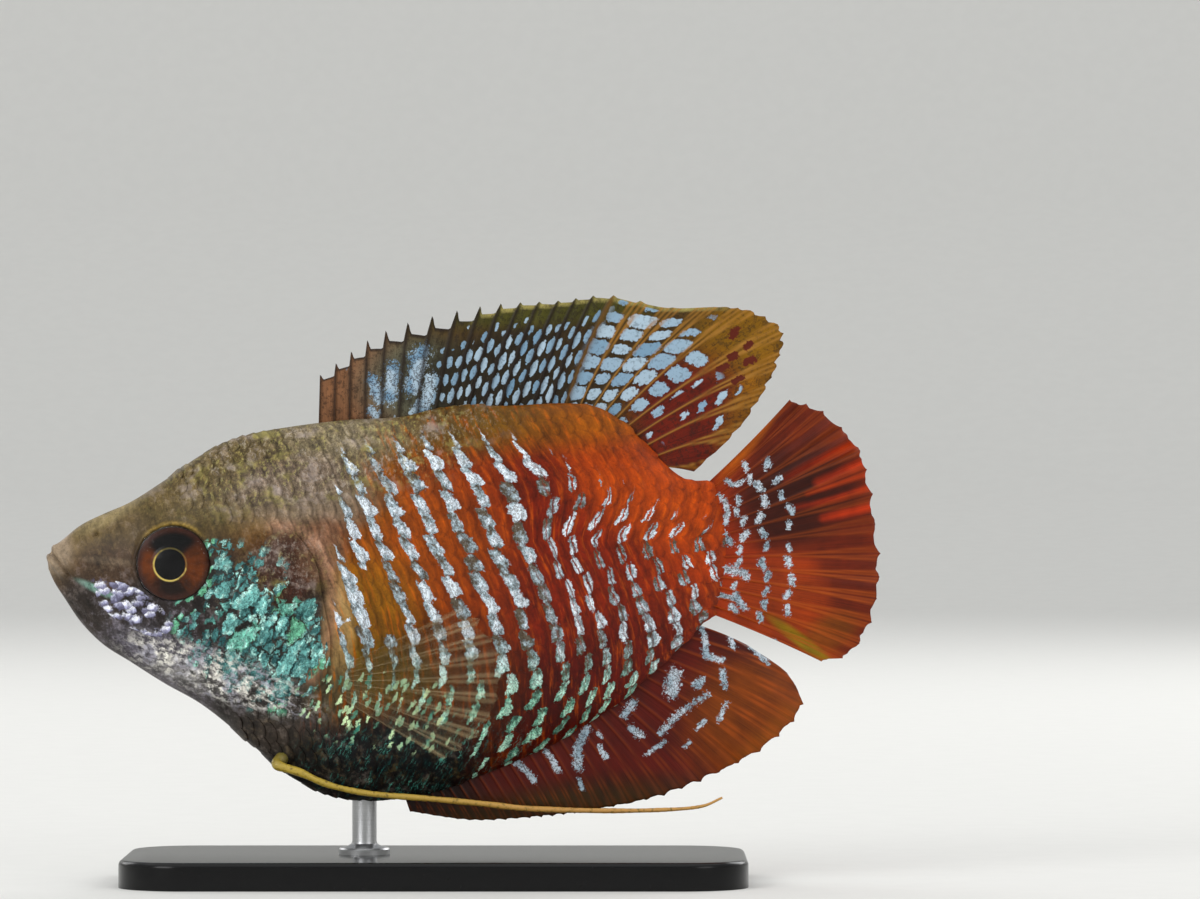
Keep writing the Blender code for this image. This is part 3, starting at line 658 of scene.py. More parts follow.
def spot_share(x, z, place, half_length, half_height, lean, softness):
    """1 inside a leaning oval of the side view and 0 outside, with a soft edge."""
    turn = math.radians(lean)
    dx, dz = x - place[0], z - place[1]
    along = (dx * math.cos(turn) + dz * math.sin(turn)) / half_length
    across = (-dx * math.sin(turn) + dz * math.cos(turn)) / half_height
    return 1 - soft_step(np.hypot(along, across), 1 - 0.55 * softness, 1 + 0.45 * softness)


def laid_over(colour, shade, share):
    """One ink laid over the colours of points, by a share for each point."""
    return colour + (np.array(ink(shade)[:3]) - colour) * share[:, None]


def airbrushed(colour, x, z, passes):
    """Soft passes of ink, one after another. Each has a name, its spot, its ink and its strength."""
    for _, *spot, shade, strength in passes:
        colour = laid_over(colour, shade, strength * spot_share(x, z, *spot))
    return colour


def ground_colour(x, z):
    places = [key[0] for key in FLANK_INK]
    inks = np.array([ink(shade)[:3] for _, shade in FLANK_INK])
    colour = np.stack([np.interp(x, places, inks[:, n]) for n in range(3)], -1)
    colour = airbrushed(colour, x, z, PASSES)
    away = np.hypot(x - EYE_PLACE[0], z - EYE_PLACE[1])
    # painted highlight: a thin gold line along the upper rim of the eye
    lid_highlight = bulge(away - EYE_RADIUS - LID_OUT, LID_HALF) * soft_step(z - EYE_PLACE[1], 2.0, 3.4)
    colour = laid_over(colour, LID_HIGHLIGHT_GOLD, 0.8 * lid_highlight)
    gill_line = bulge(route_distance(x, z, GILL_RIM), GILL_RIM_HALF)
    return laid_over(colour, GILL_RIM_PINK, 0.75 * gill_line)


def set_point_values(mesh, name, *channels):
    """Writes one, three or four values on every point of a mesh, under a name."""
    kind, field = POINT_KINDS[len(channels)]
    layer = mesh.attributes.new(name, kind, "POINT")
    layer.data.foreach_set(field, np.stack(channels, -1).astype(np.float32).ravel())


def paint(mesh):
    """Writes the colours and patterns of the fish on a mesh, by where its points are."""
    x, _, z = laid_out(corners_of(mesh)).T

    def spot(name):
        return spot_share(x, z, *MARK_SPOTS[name])

    bar, row = bars_and_rows(x, z)
    silver = soft_step(x, 25.6, 27.4) * (1 - soft_step(z - through(BAR_TOPS, x), -3.5, 1.2))
    for *fade, taken in SILVER_FADES:
        silver *= 1 - taken * spot_share(x, z, *fade)
    shards = spot("plates") * (1 - 0.70 * spot("plates_thin_out"))
    shards *= 0.55 + 0.45 * soft_step(x + 0.4 * (20 - z), 15.0, 20.5)
    shards = np.maximum(shards, 0.80 * spot("plates_behind_eye"))
    shards *= 1 - soft_step(x + 0.15 * (z - 18), 24.6, 25.4)
    speckle = np.maximum(spot("nape_speckle"), 0.75 * spot("gill_speckle"))
    head = 1 - soft_step(x - 0.25 * (z - 20), 24.0, 28.5) + spot("dark_breast")
    head = np.clip(head, 0, 1)
    rear = soft_step(x, 42.0, 48.0) * (0.45 + 0.55 * soft_step(z, 18.0, 25.0))
    low = 1 - soft_step(z, 10.0, 17.0)
    set_point_values(mesh, "Bars", bar, row, np.zeros_like(x))
    set_point_values(mesh, "Ground", *ground_colour(x, z).T, np.ones_like(x))
    set_point_values(mesh, "Marks", silver, shards, spot("pearl"), speckle)
    set_point_values(mesh, "Marks2", spot("teal"), rear, low, head)
    set_point_values(mesh, "Marks3", spot("throat"), spot("hairs"), spot("cool"), head)


def fish_skin(name):
    """Scaly skin, its patterns read from the paint on the mesh."""
    f = Finish(name)
    place = f.place()
    ground = f.read("Ground", "Color")
    silver, shards, pearl, speckle = f.channels("Marks")
    teal, rear, low, head = f.channels("Marks2")
    throat, hairs, cool = f.channels("Marks3")[0:3]
    rim = f.read("Rim", "Fac")
    bars = f.read("Bars", "Vector")

    # The flesh under the marks: blotches and grain on the head, faint streaks along the bars
    blotch = f.noise(place, 0.45, 3.0)[0]
    mottle = f.noise(place, 1.25, 5.0, 0.72)[0]
    grain = f.noise(place, 4.2, 4.0, 0.70)[0]
    streak = f.noise(f.stretched(bars, (5.5, 0.55, 0.0)), 1.0, 4.0, 0.65)[0]
    tone = f.plus(f.times(blotch, 0.55), f.times(mottle, 0.40))
    tone = f.plus(tone, f.plus(f.times(streak, 0.45), f.times(grain, 0.35)))
    contrast = f.scaled(head, 1.3, 1.9)
    level = f.scaled(head, 0.17, 0.74)
    value = f.scaled(f.less(tone, 0.875), contrast, level)
    patch_ink = f.mix(f.ramp(blotch, 0.40, 0.58), ink("a0864a"), ink("a5958a"))
    patch_ink = f.mix(cool, patch_ink, ink("9a94a2"))
    rough = f.most(speckle, f.times(cool, 0.8))
    patchy = f.times(f.scaled(rough, 0.22, 0.14), head)
    flesh = f.mix(f.times(f.ramp(mottle, 0.48, 0.66), patchy), ground, patch_ink)
    warm = f.times(f.ramp(streak, 0.50, 0.70), f.scaled(head, -0.42, 0.42))
    flesh = f.mix(warm, flesh, ink("cf5c12"))
    painted = f.toned(flesh, value, f.scaled(head, -0.16, 1.16))
    crease = f.noise(f.stretched(place, (1.0, 0.8, 1.5)), 1.3, 5.0, 0.78)[0]
    crease = f.times(f.veins(crease, 0.035, 0.0), f.scaled(rough, 0.46, 0.12))
    painted = f.mix(f.times(crease, head), painted, ink("20180f"))

    # Silver flecks, one to a scale, each with a lobe at its lower rear corner
    wander = f.sway(place, 2.3, 4.0, 0.75)
    ragged = f.vector("ADD", bars, f.stretched(wander, (0.30, 0.75, 0.0)))
    ragged = f.vector("ADD", ragged, f.stretched(f.sway(place, 0.7), (0.32, 0.50, 0.0)))
    parts = f.sides(ragged)
    row_number = f.sum("FLOOR", parts[1])
    odd = f.sum("FLOORED_MODULO", row_number, 2.0)
    stagger = f.most(f.times(low, 0.30), f.times(rear, 0.24))
    shifted = f.less(parts[0], f.times(odd, stagger))
    bar_number = f.sum("ROUND", shifted)
    within = f.less(parts[1], row_number)
    draws = f.draws(f.point(bar_number, row_number, 0.5))
    slope = f.plus(f.scaled(low, 0.45, -0.10), f.times(rear, 0.32))
    across = f.less(shifted, f.scaled(f.less(within, 0.5), slope, bar_number))
    across = f.plus(across, f.scaled(draws[1], 0.14, -0.07))
    lobe = f.times(f.ramp(within, 0.95, 0.34), f.ramp(within, -0.04, 0.22))
    right = f.scaled(lobe, f.scaled(draws[0], 0.18, 0.02), 0.17)
    left = f.scaled(draws[1], 0.08, 0.16)
    gap = f.less(1.0, f.times(f.ramp(within, -0.02, 0.16), f.ramp(within, 1.02, 0.84)))
    broken = f.scaled(f.ramp(draws[2], 0.40, 0.05), 0.55, 0.12)
    pinch = f.times(gap, f.most(f.times(f.most(rear, low), 0.92), broken))
    narrow = f.times(f.less(1.0, pinch), f.scaled(rear, -0.28, 1.0))
    narrow = f.times(narrow, silver)
    edge = f.least(f.less(f.times(right, narrow), across), f.plus(f.times(left, narrow), across))
    fleck = f.times(f.ramp(edge, -0.004, 0.030), f.ramp(silver, 0.05, 0.35))
    split = f.sum("ABSOLUTE", f.plus(across, f.scaled(within, 0.14, -0.08)))
    split = f.times(f.ramp(split, 0.050, 0.012), f.times(rear, 1.4), clamp=True)
    fleck = f.times(fleck, f.less(1.0, split))
    speck = f.noise(f.stretched(place, (1.3, 1.0, 0.8)), 3.4, 5.0, 0.80)[0]
    foil = f.noise(f.stretched(bars, (4.2, 2.3, 0.0)), 1.0, 4.0, 0.70)[0]
    glow = f.scaled(f.plus(lobe, f.times(across, 2.0)), 0.42, draws[2])
    glow = f.plus(glow, f.scaled(foil, 3.6, -1.8))
    silver_ink = f.mix(low, ink("5e5547"), ink("3f6a5a"))
    silver_ink = f.mix(f.ramp(glow, 0.12, 0.78), silver_ink, f.mix(low, ink("a4b8c2"), ink("84c8ac")))
    silver_ink = f.mix(f.ramp(glow, 0.70, 1.15), silver_ink, f.mix(low, ink("dfeaf4"), ink("c4f6dc")))
    wire = f.noise(f.stretched(bars, (6.0, 3.2, 0.0)), 1.0, 5.0, 0.72)[0]
    silver_ink = f.mix(f.times(f.veins(wire, 0.040, 0.005), 0.80), silver_ink, ink("3a2818"))
    silver_ink = f.mix(f.ramp(speck, 0.62, 0.70), silver_ink, ink("f4f8fc"))
    painted = f.mix(fleck, painted, silver_ink)

    # Turquoise plates on the cheek, big and bright behind, small slanting chips near the eye
    bent = f.vector("ADD", place, f.vector("SCALE", wander, scale=0.9))
    uphill = f.along(bent, (0.50, 0.0, 0.87))
    downhill = f.along(bent, (0.87, 0.0, -0.50))
    depth = f.along(bent, (0.0, 1.0, 0.0))
    slant = f.point(f.times(uphill, 0.68), f.times(downhill, 1.25), f.times(depth, 0.5))
    cracks, chips = [], []
    for fineness in (0.50, 1.35):
        cracks.append(f.cells("DISTANCE_TO_EDGE", slant, fineness)[0])
        chips.append(f.parts(f.cells("F1", slant, fineness)["Color"]))
    torn = f.scaled(f.noise(slant, 2.6, 4.0, 0.75)[0], 0.16, -0.08)
    big_there = f.ramp(f.scaled(shards, 1.7, chips[0][0]), 1.78, 1.88)
    big = f.times(f.ramp(f.plus(cracks[0], torn), 0.05, 0.09), big_there)
    small_there = f.ramp(f.scaled(shards, 0.80, chips[1][0]), 0.82, 0.92)
    small = f.times(f.ramp(f.plus(cracks[1], torn), 0.05, 0.12), small_there)
    plate = f.times(f.most(big, small), f.ramp(shards, 0.04, 0.25))
    vein = f.veins(f.noise(slant, 2.2, 5.0, 0.75)[0], 0.005, 0.045)
    sheen = f.noise(slant, 1.3, 4.0, 0.62)[0]
    plate_ink = f.mix(chips[1][1], ink("2a5c60"), ink("66aaa6"))
    # Painted sheen on the plates: a noise makes each big plate lighter in places, along with a tone drawn
    # for each plate, and lays near-white painted highlights and dark painted shade over them
    bright = f.times(big, f.ramp(f.scaled(chips[0][1], 0.5, sheen), 0.45, 0.85))
    plate_ink = f.mix(bright, plate_ink, ink("86d2cc"))
    plate_ink = f.mix(f.ramp(chips[0][2], 0.66, 0.90), plate_ink, ink("7cd2a4"))
    plate_ink = f.mix(f.ramp(sheen, 0.53, 0.64), plate_ink, ink("c8fff4"))
    plate_ink = f.mix(f.times(f.ramp(sheen, 0.46, 0.34), 0.85), plate_ink, ink("173c3e"))
    plate_ink = f.mix(f.times(f.ramp(speck, 0.48, 0.36), 0.45), plate_ink, ink("143430"))
    plate_ink = f.mix(f.scaled(vein, -0.9, 0.9), plate_ink, ink("0a1516"))
    painted = f.mix(plate, painted, plate_ink)

    # Pearly flecks below the eye and along the throat, teal sparks on the breast
    pearl_place = f.stretched(bent, (0.85, 1.0, 1.20))
    pearls = f.cells("F1", pearl_place, 1.15)
    pearl_draw = f.parts(pearls["Color"])
    drop = f.ramp(f.plus(pearls["Distance"], torn), 0.66, 0.44)
    drop = f.times(drop, f.ramp(f.scaled(pearl, 1.4, pearl_draw[0]), 0.95, 1.15))
    # Each pearly fleck is painted lighter at its upper front and darker below, painted shading of a
    # rounded scale lit from above, with a near-white painted highlight at its top
    lift = f.along(f.vector("SUBTRACT", pearl_place, pearls["Position"]), (-0.35, 0, 0.94))
    lift = f.plus(lift, f.scaled(pearl_draw[1], 0.5, -0.25))
    pearl_ink = f.mix(f.ramp(lift, -0.30, 0.10), ink("625f78"), ink("a4a5c6"))
    pearl_ink = f.mix(f.ramp(lift, 0.02, 0.36), pearl_ink, ink("f4f5ff"))
    pearl_ink = f.mix(f.times(f.ramp(speck, 0.50, 0.38), 0.5), pearl_ink, ink("5c5a74"))
    painted = f.mix(f.times(drop, f.ramp(pearl, 0.02, 0.30)), painted, pearl_ink)
    chip_place = f.point(f.times(uphill, 0.72), f.times(downhill, 2.2), f.times(depth, 0.5))
    sparks = f.cells("F1", chip_place, 1.05)
    spark_draw = f.parts(sparks["Color"])
    spark = f.ramp(f.plus(sparks["Distance"], torn), 0.46, 0.34)
    spark = f.times(spark, f.ramp(f.scaled(teal, 0.6, spark_draw[0]), 0.80, 0.95))
    spark_ink = f.mix(spark_draw[1], ink("3a8470"), ink("dcf8c0"))
    painted = f.mix(f.times(spark, f.ramp(teal, 0.02, 0.3)), painted, spark_ink)
    hair = f.noise(f.stretched(chip_place, (0.9, 3.4, 1.0)), 1.0, 4.0, 0.70)[0]
    hair = f.times(f.ramp(hair, 0.56, 0.64), f.times(hairs, 0.75))
    painted = f.mix(hair, painted, f.mix(f.ramp(blotch, 0.42, 0.60), ink("1d5450"), ink("5fb8a4")))

    # Silvery, torn-looking scales along the throat
    along_throat = f.along(bent, (0.94, 0.0, -0.34))
    over_throat = f.along(bent, (0.34, 0.0, 0.94))
    foil_place = f.point(f.times(along_throat, 0.9), f.times(over_throat, 1.9), depth)
    foil_grain = f.noise(foil_place, 1.2, 5.0, 0.74)[0]
    foil_share = f.times(f.ramp(foil_grain, 0.46, 0.60), f.times(throat, 0.95), clamp=True)
    foil_ink = f.mix(f.ramp(blotch, 0.46, 0.62), ink("f2eee4"), ink("b4b3c0"))
    painted = f.mix(foil_share, painted, foil_ink)
    foil_gap = f.times(f.ramp(foil_grain, 0.46, 0.38), f.times(throat, 0.65))
    painted = f.mix(foil_gap, painted, ink("242224"))

    # Gold and grey speckle of small scales on the nape, in a dark net
    net = f.noise(f.stretched(place, (1.5, 1.0, 1.0)), 1.9, 5.0, 0.78)[0]
    net_ink = f.mix(f.ramp(blotch, 0.42, 0.58), ink("b0a65c"), ink("b4a89c"))
    painted = f.mix(f.times(f.ramp(net, 0.48, 0.40), f.times(speckle, 0.42)), painted, ink("2c2216"))
    painted = f.mix(f.times(f.ramp(net, 0.52, 0.62), f.times(speckle, 0.50)), painted, net_ink)
    lit_patch = f.noise(f.stretched(place, (0.7, 0.5, 1.3)), 0.55, 4.0, 0.62)[0]
    lit_patch = f.times(f.ramp(lit_patch, 0.50, 0.64), f.times(speckle, 0.50))
    painted = f.mix(lit_patch, painted, f.mix(f.ramp(blotch, 0.44, 0.56), ink("9c9250"), ink("a3958e")))

    # Painted shade darkens each scale's free edge, where it lies over the next, and a painted highlight
    # band lightens the scale just in front of it
    lit_band = f.scaled(f.ramp(rim, 0.50, 0.80), f.scaled(head, 0.06, 0.24), 1.0)
    free_edge_shade = f.times(f.ramp(rim, 0.84, 0.95), f.scaled(head, 0.08, 0.30))
    painted = f.mix(free_edge_shade, f.toned(painted, lit_band), ink("1a0e06"))

    shine = f.most(fleck, plate)
    height = f.plus(f.times(grain, 0.5), f.times(shine, 0.35))
    f.surface(
        Base_Color=painted, Roughness=f.scaled(grain, 0.25, 0.30),
        Metallic=f.times(shine, 0.20), Normal=f.bumped(height, 0.06 * MM, 0.7),
        Specular_IOR_Level=0.16, Coat_Weight=0.05, Coat_Roughness=0.22,
    )
    return f.material


fish_finish = fish_skin("fish_skin")
paint(skin)
linked(
    "skin", skin, fish_finish, "flank_skin",
    "head", "torso", "tail_stalk", "gill_cover_left", "gill_cover_right",
)


# Scales
# Thin bony plates in slanting rows over the flank, nape, breast and tail stalk. Each is rooted in the
# skin in front and lies over the next one behind it, its rear edge rounded and just free of the body.
# There is one column of scales on each silver bar and one between, and they carry the skin's paint.
SIDES = ((-1, "left"), (1, "right"))
SCALE_STEP = 0.5
SCALE_REACH, SCALE_HALF = (-0.60, 0.18), 0.61
SCALE_CELLS, SCALE_ROWS = 7, 6
SCALE_ROOT_DEPTH, SCALE_RISE, SCALE_CROWN, SCALE_WALL = 0.06, 0.155, 0.05, 0.05
ROW_STAGGER = 0.30
SCALES_START = [
    (0, 15.0), (6, 15.5), (9, 17.0), (11, 19.5), (13, 23.4), (15, 25.3), (18.4, 25.9), (22, 25.2),
    (24.6, 22.8), (26.4, 19.0), (27.6, 15.6), (29, 12.6), (36, 11.0),
]
SCALES_END = 60.2
PATCH, MAP_LENGTH = 0.003, 64


def on_pattern(bar, row):
    """Places of the side view from their place in the pattern of bars and rows."""
    count = len(BARS)
    upright = np.interp(bar, np.arange(count), BARS)
    upright = np.where(bar < 0, BARS[0] + bar * FRONT_PITCH, upright)
    upright = np.where(bar > count - 1, BARS[-1] + (bar - count + 1) * REAR_PITCH, upright)
    x, z = upright + 1.0, 20.0 + ROW_PITCH * row
    for _ in range(30):
        x = upright + lean_of(z, x)
        z = z + 0.45 * row_pitch(x) * (row - row_of(x, z))
        z = np.clip(z, belly(x) + 0.04, back(x) - 0.04)
    return x, z


def scale_centres():
    """Bar and row of the middle of every scale on one flank."""
    columns = np.arange(-12 / SCALE_STEP, (len(BARS) + 2) / SCALE_STEP) * SCALE_STEP
    bar, row = (side.ravel() for side in np.meshgrid(columns, np.arange(-12, 13)))
    x, z = on_pattern(bar, row + 0.5)
    bar = bar + ROW_STAGGER * (1 - soft_step(z, 10.0, 17.0)) * (row % 2)
    x, z = on_pattern(bar, row + 0.5)
    inside = (z > belly(x) + 0.25) & (z < back(x) - 0.25)
    kept = inside & (x > through(SCALES_START, z)) & (x < SCALES_END)
    return bar[kept], row[kept] + 0.5


def new_corners(parts):
    return [part for part in parts if isinstance(part, bmesh.types.BMVert)]


def open_edges(work):
    return [edge for edge in work.edges if edge.is_boundary]


def faced_outwards(mesh, sharp=180):
    """Turns a mesh's faces outwards and shades it smooth up to an angle."""
    work = bmesh.new()
    work.from_mesh(mesh)
    bmesh.ops.recalc_face_normals(work, faces=work.faces)
    work.to_mesh(mesh)
    work.free()
    mesh.shade_smooth()
    if sharp < 180:
        mesh.set_sharp_from_angle(angle=math.radians(sharp))


def scale_coat(name, side, seed, centres, spread, reach, half, rise, ground):
    """Scales of one side as one mesh, an array of one plate laid out in a pattern.

    spread gives places of the side view from places in the pattern, reach how far a plate goes to
    its front and rear, ground how far the surface under it lies off the flank.
    """
    work = bmesh.new()
    bmesh.ops.create_grid(work, x_segments=SCALE_CELLS, y_segments=SCALE_ROWS, size=0.5)
    wall = bmesh.ops.extrude_edge_only(work, edges=open_edges(work))["geom"]
    bmesh.ops.translate(work, verts=new_corners(wall), vec=(0, 0, -1))
    bmesh.ops.holes_fill(work, edges=open_edges(work), sides=0)
    bars, rows = centres
    carrier = in_scene("plate", as_mesh(work, "plate"))
    repeat = carrier.modifiers.new("repeat", "ARRAY")
    repeat.use_relative_offset, repeat.use_constant_offset = False, True
    repeat.constant_offset_displace = (2, 0, 0)
    repeat.count = len(bars)
    repeated = carrier.evaluated_get(bpy.context.evaluated_depsgraph_get())
    mesh = bpy.data.meshes.new_from_object(repeated)
    bpy.data.objects.remove(carrier)
    mesh.name = name
    along, across, layer = corners_of(mesh).T
    number = np.round(along / 2).astype(int)
    along, across = along - 2 * number + 0.5, across * 2
    drawn = np.random.default_rng(seed)
    size = drawn.uniform(0.95, 1.05, len(bars))[number]
    lift = drawn.uniform(-0.015, 0.02, len(bars))[number]
    back_to = reach[0] + (reach[1] - reach[0]) * along * (1 - 0.30 * np.abs(across) ** 2.4)
    x, z = spread(bars[number] + back_to * size, rows[number] + half * across * size)
    height = -SCALE_ROOT_DEPTH + (rise + lift) * along - SCALE_CROWN * across**2 + SCALE_WALL * layer
    points = on_flank(x, z, side, height)
    points[:, 1] += side * ground(x, z)
    set_corners(mesh, placed(points))
    set_point_values(mesh, "Rim", along)
    root_x, root_z = spread(bars, rows)
    tall = back(root_x) - belly(root_x)
    middle = belly(root_x) + WIDEST_AT * tall
    around = 0.5 + 0.22 * side * (1 + (root_z - middle) / tall)
    loops = np.empty(len(mesh.loops), np.int32)
    mesh.loops.foreach_get("vertex_index", loops)
    at = number[loops]
    unwrapped = np.stack([
        root_x[at] / MAP_LENGTH + PATCH * (along[loops] - 0.5),
        around[at] + PATCH * across[loops] / 2,
    ], -1)
    mesh.uv_layers.new(name="OFBake").data.foreach_set("uv", unwrapped.astype(np.float32).ravel())
    faced_outwards(mesh, 50)
    return mesh


for (scale_side, scale_name), scale_seed in zip(SIDES, (3, 4)):
    coat = scale_coat(
        "scales_" + scale_name, scale_side, scale_seed, scale_centres(), on_pattern,
        SCALE_REACH, SCALE_HALF, SCALE_RISE, lambda x, z: np.full_like(x, -SCALE_COAT),
    )
    paint(coat)
    linked("scales_" + scale_name, coat, fish_finish, "flank_skin")


# Eyes
# Each eye is a dark ball set deep in its socket, with an orange-brown iris, black above and below, a
# thin broken gold ring and a black pupil that bulges a little. A clear dome closes over it.
EYE_SIDES = 64
EYE_PROFILE = [
    (3.42, -1.20), (3.40, -0.45), (3.30, -0.12), (3.05, -0.04), (2.5, 0.02), (1.9, 0.08), (1.62, 0.12),
    (1.54, 0.17), (1.44, 0.17), (1.36, 0.11), (1.2, 0.16), (0.8, 0.24), (0.4, 0.28), (0.0, 0.29),
]
DOME_PROFILE = [
    (3.44, -0.50), (3.38, -0.10), (3.18, 0.12), (2.7, 0.30),
    (2.0, 0.43), (1.2, 0.50), (0.5, 0.53), (0.0, 0.535),
]
DOME_WALL = 0.06
PUPIL_SHIFT, PUPIL_RADIUS = (-0.30, -0.08), 1.36
RING_STARTS, RING_FADES, RING_ENDS = (PUPIL_RADIUS + out for out in (0.05, 0.10, 0.23))


def eye_piece(profile, side, name, wall=0.0):
    """A round shape turned about a line square to the flank, from (radius, outwards) points.

    With a wall it is a shell. Without one it is closed behind, and its middle is moved with the pupil.
    """
    work = bmesh.new()
    out = float(flank(*EYE_PLACE))
    corners, lines = profile_line(work, [(radius, side * (out + depth), 0) for radius, depth in profile])
    if wall:
        inner, inner_lines = profile_line(work, [
            (radius, side * (out + depth - wall), 0) for radius, depth in reversed(profile)])
        lines += inner_lines
        lines.append(work.edges.new((corners[0], inner[-1])))
        corners += inner
    else:
        back_middle = work.verts.new((0, side * (out + profile[0][1]), 0))
        lines.append(work.edges.new((corners[0], back_middle)))
        corners.append(back_middle)
    turned_round(work, corners + lines, (0, 1, 0), EYE_SIDES)
    bmesh.ops.remove_doubles(work, verts=work.verts, dist=0.002)
    for corner in work.verts:
        away = math.hypot(corner.co.x, corner.co.z)
        share = 0.0 if wall else float(1 - soft_step(away, 1.7, 3.2))
        corner.co.x += EYE_PLACE[0] + PUPIL_SHIFT[0] * share
        corner.co.z += EYE_PLACE[1] + PUPIL_SHIFT[1] * share
    put_corners(work, corners_in(work))
    return from_work(work, name, 50)


def iris_finish():
    """Iris, ring and pupil, by how far out of the pupil's middle a point lies and which way."""
    f = Finish("eye_iris")
    place = f.place()
    eye_at = (EYE_PLACE[0] - ORIGIN_BEHIND_SNOUT, 0, EYE_PLACE[1] + KEEL_HEIGHT)
    pupil_at = (eye_at[0] + PUPIL_SHIFT[0], 0, eye_at[2] + PUPIL_SHIFT[1])
    level = f.stretched(place, (1, 0, 1))
    from_pupil = f.vector("SUBTRACT", level, pupil_at)
    away = f.vector("LENGTH", from_pupil)
    away_eye = f.vector("LENGTH", f.vector("SUBTRACT", level, eye_at))
    way_out = f.vector("NORMALIZE", from_pupil)
    parts = f.sides(way_out)
    fibre = f.noise(f.stretched(way_out, (6, 6, 6)), 1.6, 4.0, 0.7)[0]
    cloud = f.noise(place, 1.3, 3.0)[0]
    side_glow = f.ramp(f.plus(f.sum("ABSOLUTE", parts[0]), f.times(cloud, 1.1)), 0.85, 1.85)
    iris = f.mix(side_glow, ink("160904"), ink("6c3208"))
    iris = f.mix(f.ramp(f.plus(parts[2], f.times(cloud, 0.35)), 0.62, 0.98), iris, ink("050506"))
    iris = f.mix(f.ramp(away_eye, 2.55, 3.15), iris, ink("3a1b10"))
    iris = f.mix(f.ramp(away_eye, 3.12, 3.32), iris, ink("100b0a"))
    iris = f.toned(iris, f.scaled(fibre, 1.9, 0.10))
    # The gold ring carries a painted highlight: it is brightest towards its lower front, as lit from
    # there, and is broken by a noise
    lit_from = f.along(way_out, (-0.5, 0.0, -0.65))
    broken = f.plus(lit_from, f.scaled(f.noise(place, 2.4, 3.0)[0], 3.0, -1.5))
    broken = f.scaled(f.ramp(broken, -0.5, 0.7), 0.85, 0.15)
    ring = f.times(f.ramp(away, PUPIL_RADIUS, RING_STARTS), f.ramp(away, RING_ENDS, RING_FADES))
    ring = f.times(ring, broken)
    colour = f.mix(ring, iris, ink("dcc468"))
    colour = f.mix(f.ramp(away, PUPIL_RADIUS + 0.03, PUPIL_RADIUS - 0.03), colour, ink("020203"))
    f.surface(
        Base_Color=colour, Roughness=0.35, Metallic=f.times(ring, 0.4), Coat_Weight=0.15,
        Coat_Roughness=0.04, Normal=f.bumped(fibre, 0.03 * MM), Specular_IOR_Level=0.15,
    )
    return f.material


def dome_finish():
    f = Finish("eye_dome")
    f.surface(
        Base_Color=ink("ffffff"), Roughness=0.02, IOR=1.34, Transmission_Weight=1.0, Alpha=0.05,
        Coat_Weight=0.0,
    )
    return f.material


iris_material, dome_material = iris_finish(), dome_finish()
for eye_side, eye_name in SIDES:
    ball = eye_piece(EYE_PROFILE, eye_side, "eyeball_" + eye_name)
    linked("eyeball_" + eye_name, ball, iris_material, "eye", "eye_" + eye_name)
    dome = eye_piece(DOME_PROFILE, eye_side, "eye_dome_" + eye_name, DOME_WALL)
    linked("eye_dome_" + eye_name, dome, dome_material, "eye", "eye_" + eye_name)


# Dorsal fin
# A sail of sixteen hard spines and nine soft, branching rays with a thin web between them. The web is
# pink-brown and bare in front, dark with pale blue flecks along the middle, olive along the top, and
# gold with maroon spots at the rear tip. The rays stand proud of the web on both faces.
DORSAL_SPINES, DORSAL_RAYS = 16, 25
DORSAL_ROOTS = [
    # ray, how far behind the snout it leaves the back
    (0, 24.4), (4, 30.1), (8, 36.3), (12, 42.2), (15, 46.6),
    (18, 50.3), (20, 52.3), (22, 54.0), (24, 55.6),
]
DORSAL_TIPS = [
    # ray, place of its tip
    (0, (24.6, 40.1)), (4, (30.5, 44.1)), (8, (39.0, 46.3)), (12, (46.0, 46.8)),
    (15, (51.0, 47.3)), (17, (56.3, 46.2)), (19, (62.8, 46.1)), (20, (66.2, 44.3)),
    (21, (65.9, 41.4)), (22, (64.4, 38.3)), (23, (62.0, 34.9)), (24, (58.3, 31.4)),
]
DORSAL_COLUMNS, DORSAL_ROWS = 12, 60
FIN_ROOT_SUNK = 0.7
DORSAL_PASSES = [
    ("bare_front", (26, 39), 6.5, 7, 0, 0.8, "8a6248", 0.95),
    ("blue_front", (33, 39.5), 5, 4, 10, 0.9, "5d6656", 0.75),
    ("dark_middle", (43, 40.5), 11, 4.6, 8, 0.7, "241d10", 0.96),
    ("dark_rear", (53, 42), 7, 4.4, 0, 0.8, "3d2c12", 0.92),
    ("olive_top", (44, 46.4), 13, 1.9, 3, 0.8, "47461a", 0.92),
    ("rear_tip", (64, 42.5), 6, 5.5, -30, 0.8, "866027", 0.95),
    ("rear_low", (58, 36), 5.5, 6, -40, 0.8, "6b1606", 0.95),
    ("rear_edge", (64, 37.5), 2.4, 5.5, -30, 0.9, "8a5a1e", 0.80),
]
MAROON_SPOTS = [
    # half width of a brush stroke, the places it runs through
    (0.62, [(61.7, 43.6), (62.1, 44.2)]), (0.55, [(63.0, 42.6), (63.3, 43.0)]),
    (0.62, [(61.6, 41.7), (62.0, 41.9)]), (0.62, [(63.0, 41.3), (63.6, 41.5)]),
    (0.50, [(60.5, 40.6), (61.2, 40.9)]), (0.50, [(61.9, 39.5), (62.6, 39.9)]),
]
FRONT_PATCHES = [
    (1.1, [(29.3, 39.6), (29.9, 38.0)]), (0.9, [(29.3, 37.0), (29.6, 36.5)]),
    (1.3, [(31.2, 40.6), (30.9, 38.1)]), (1.5, [(33.5, 40.9), (32.9, 39.0)]),
    (1.4, [(33.9, 42.2), (33.3, 41.6)]), (1.1, [(34.7, 39.7), (33.9, 36.8)]),
    (0.8, [(33.5, 37.6), (33.1, 36.9)]),
]
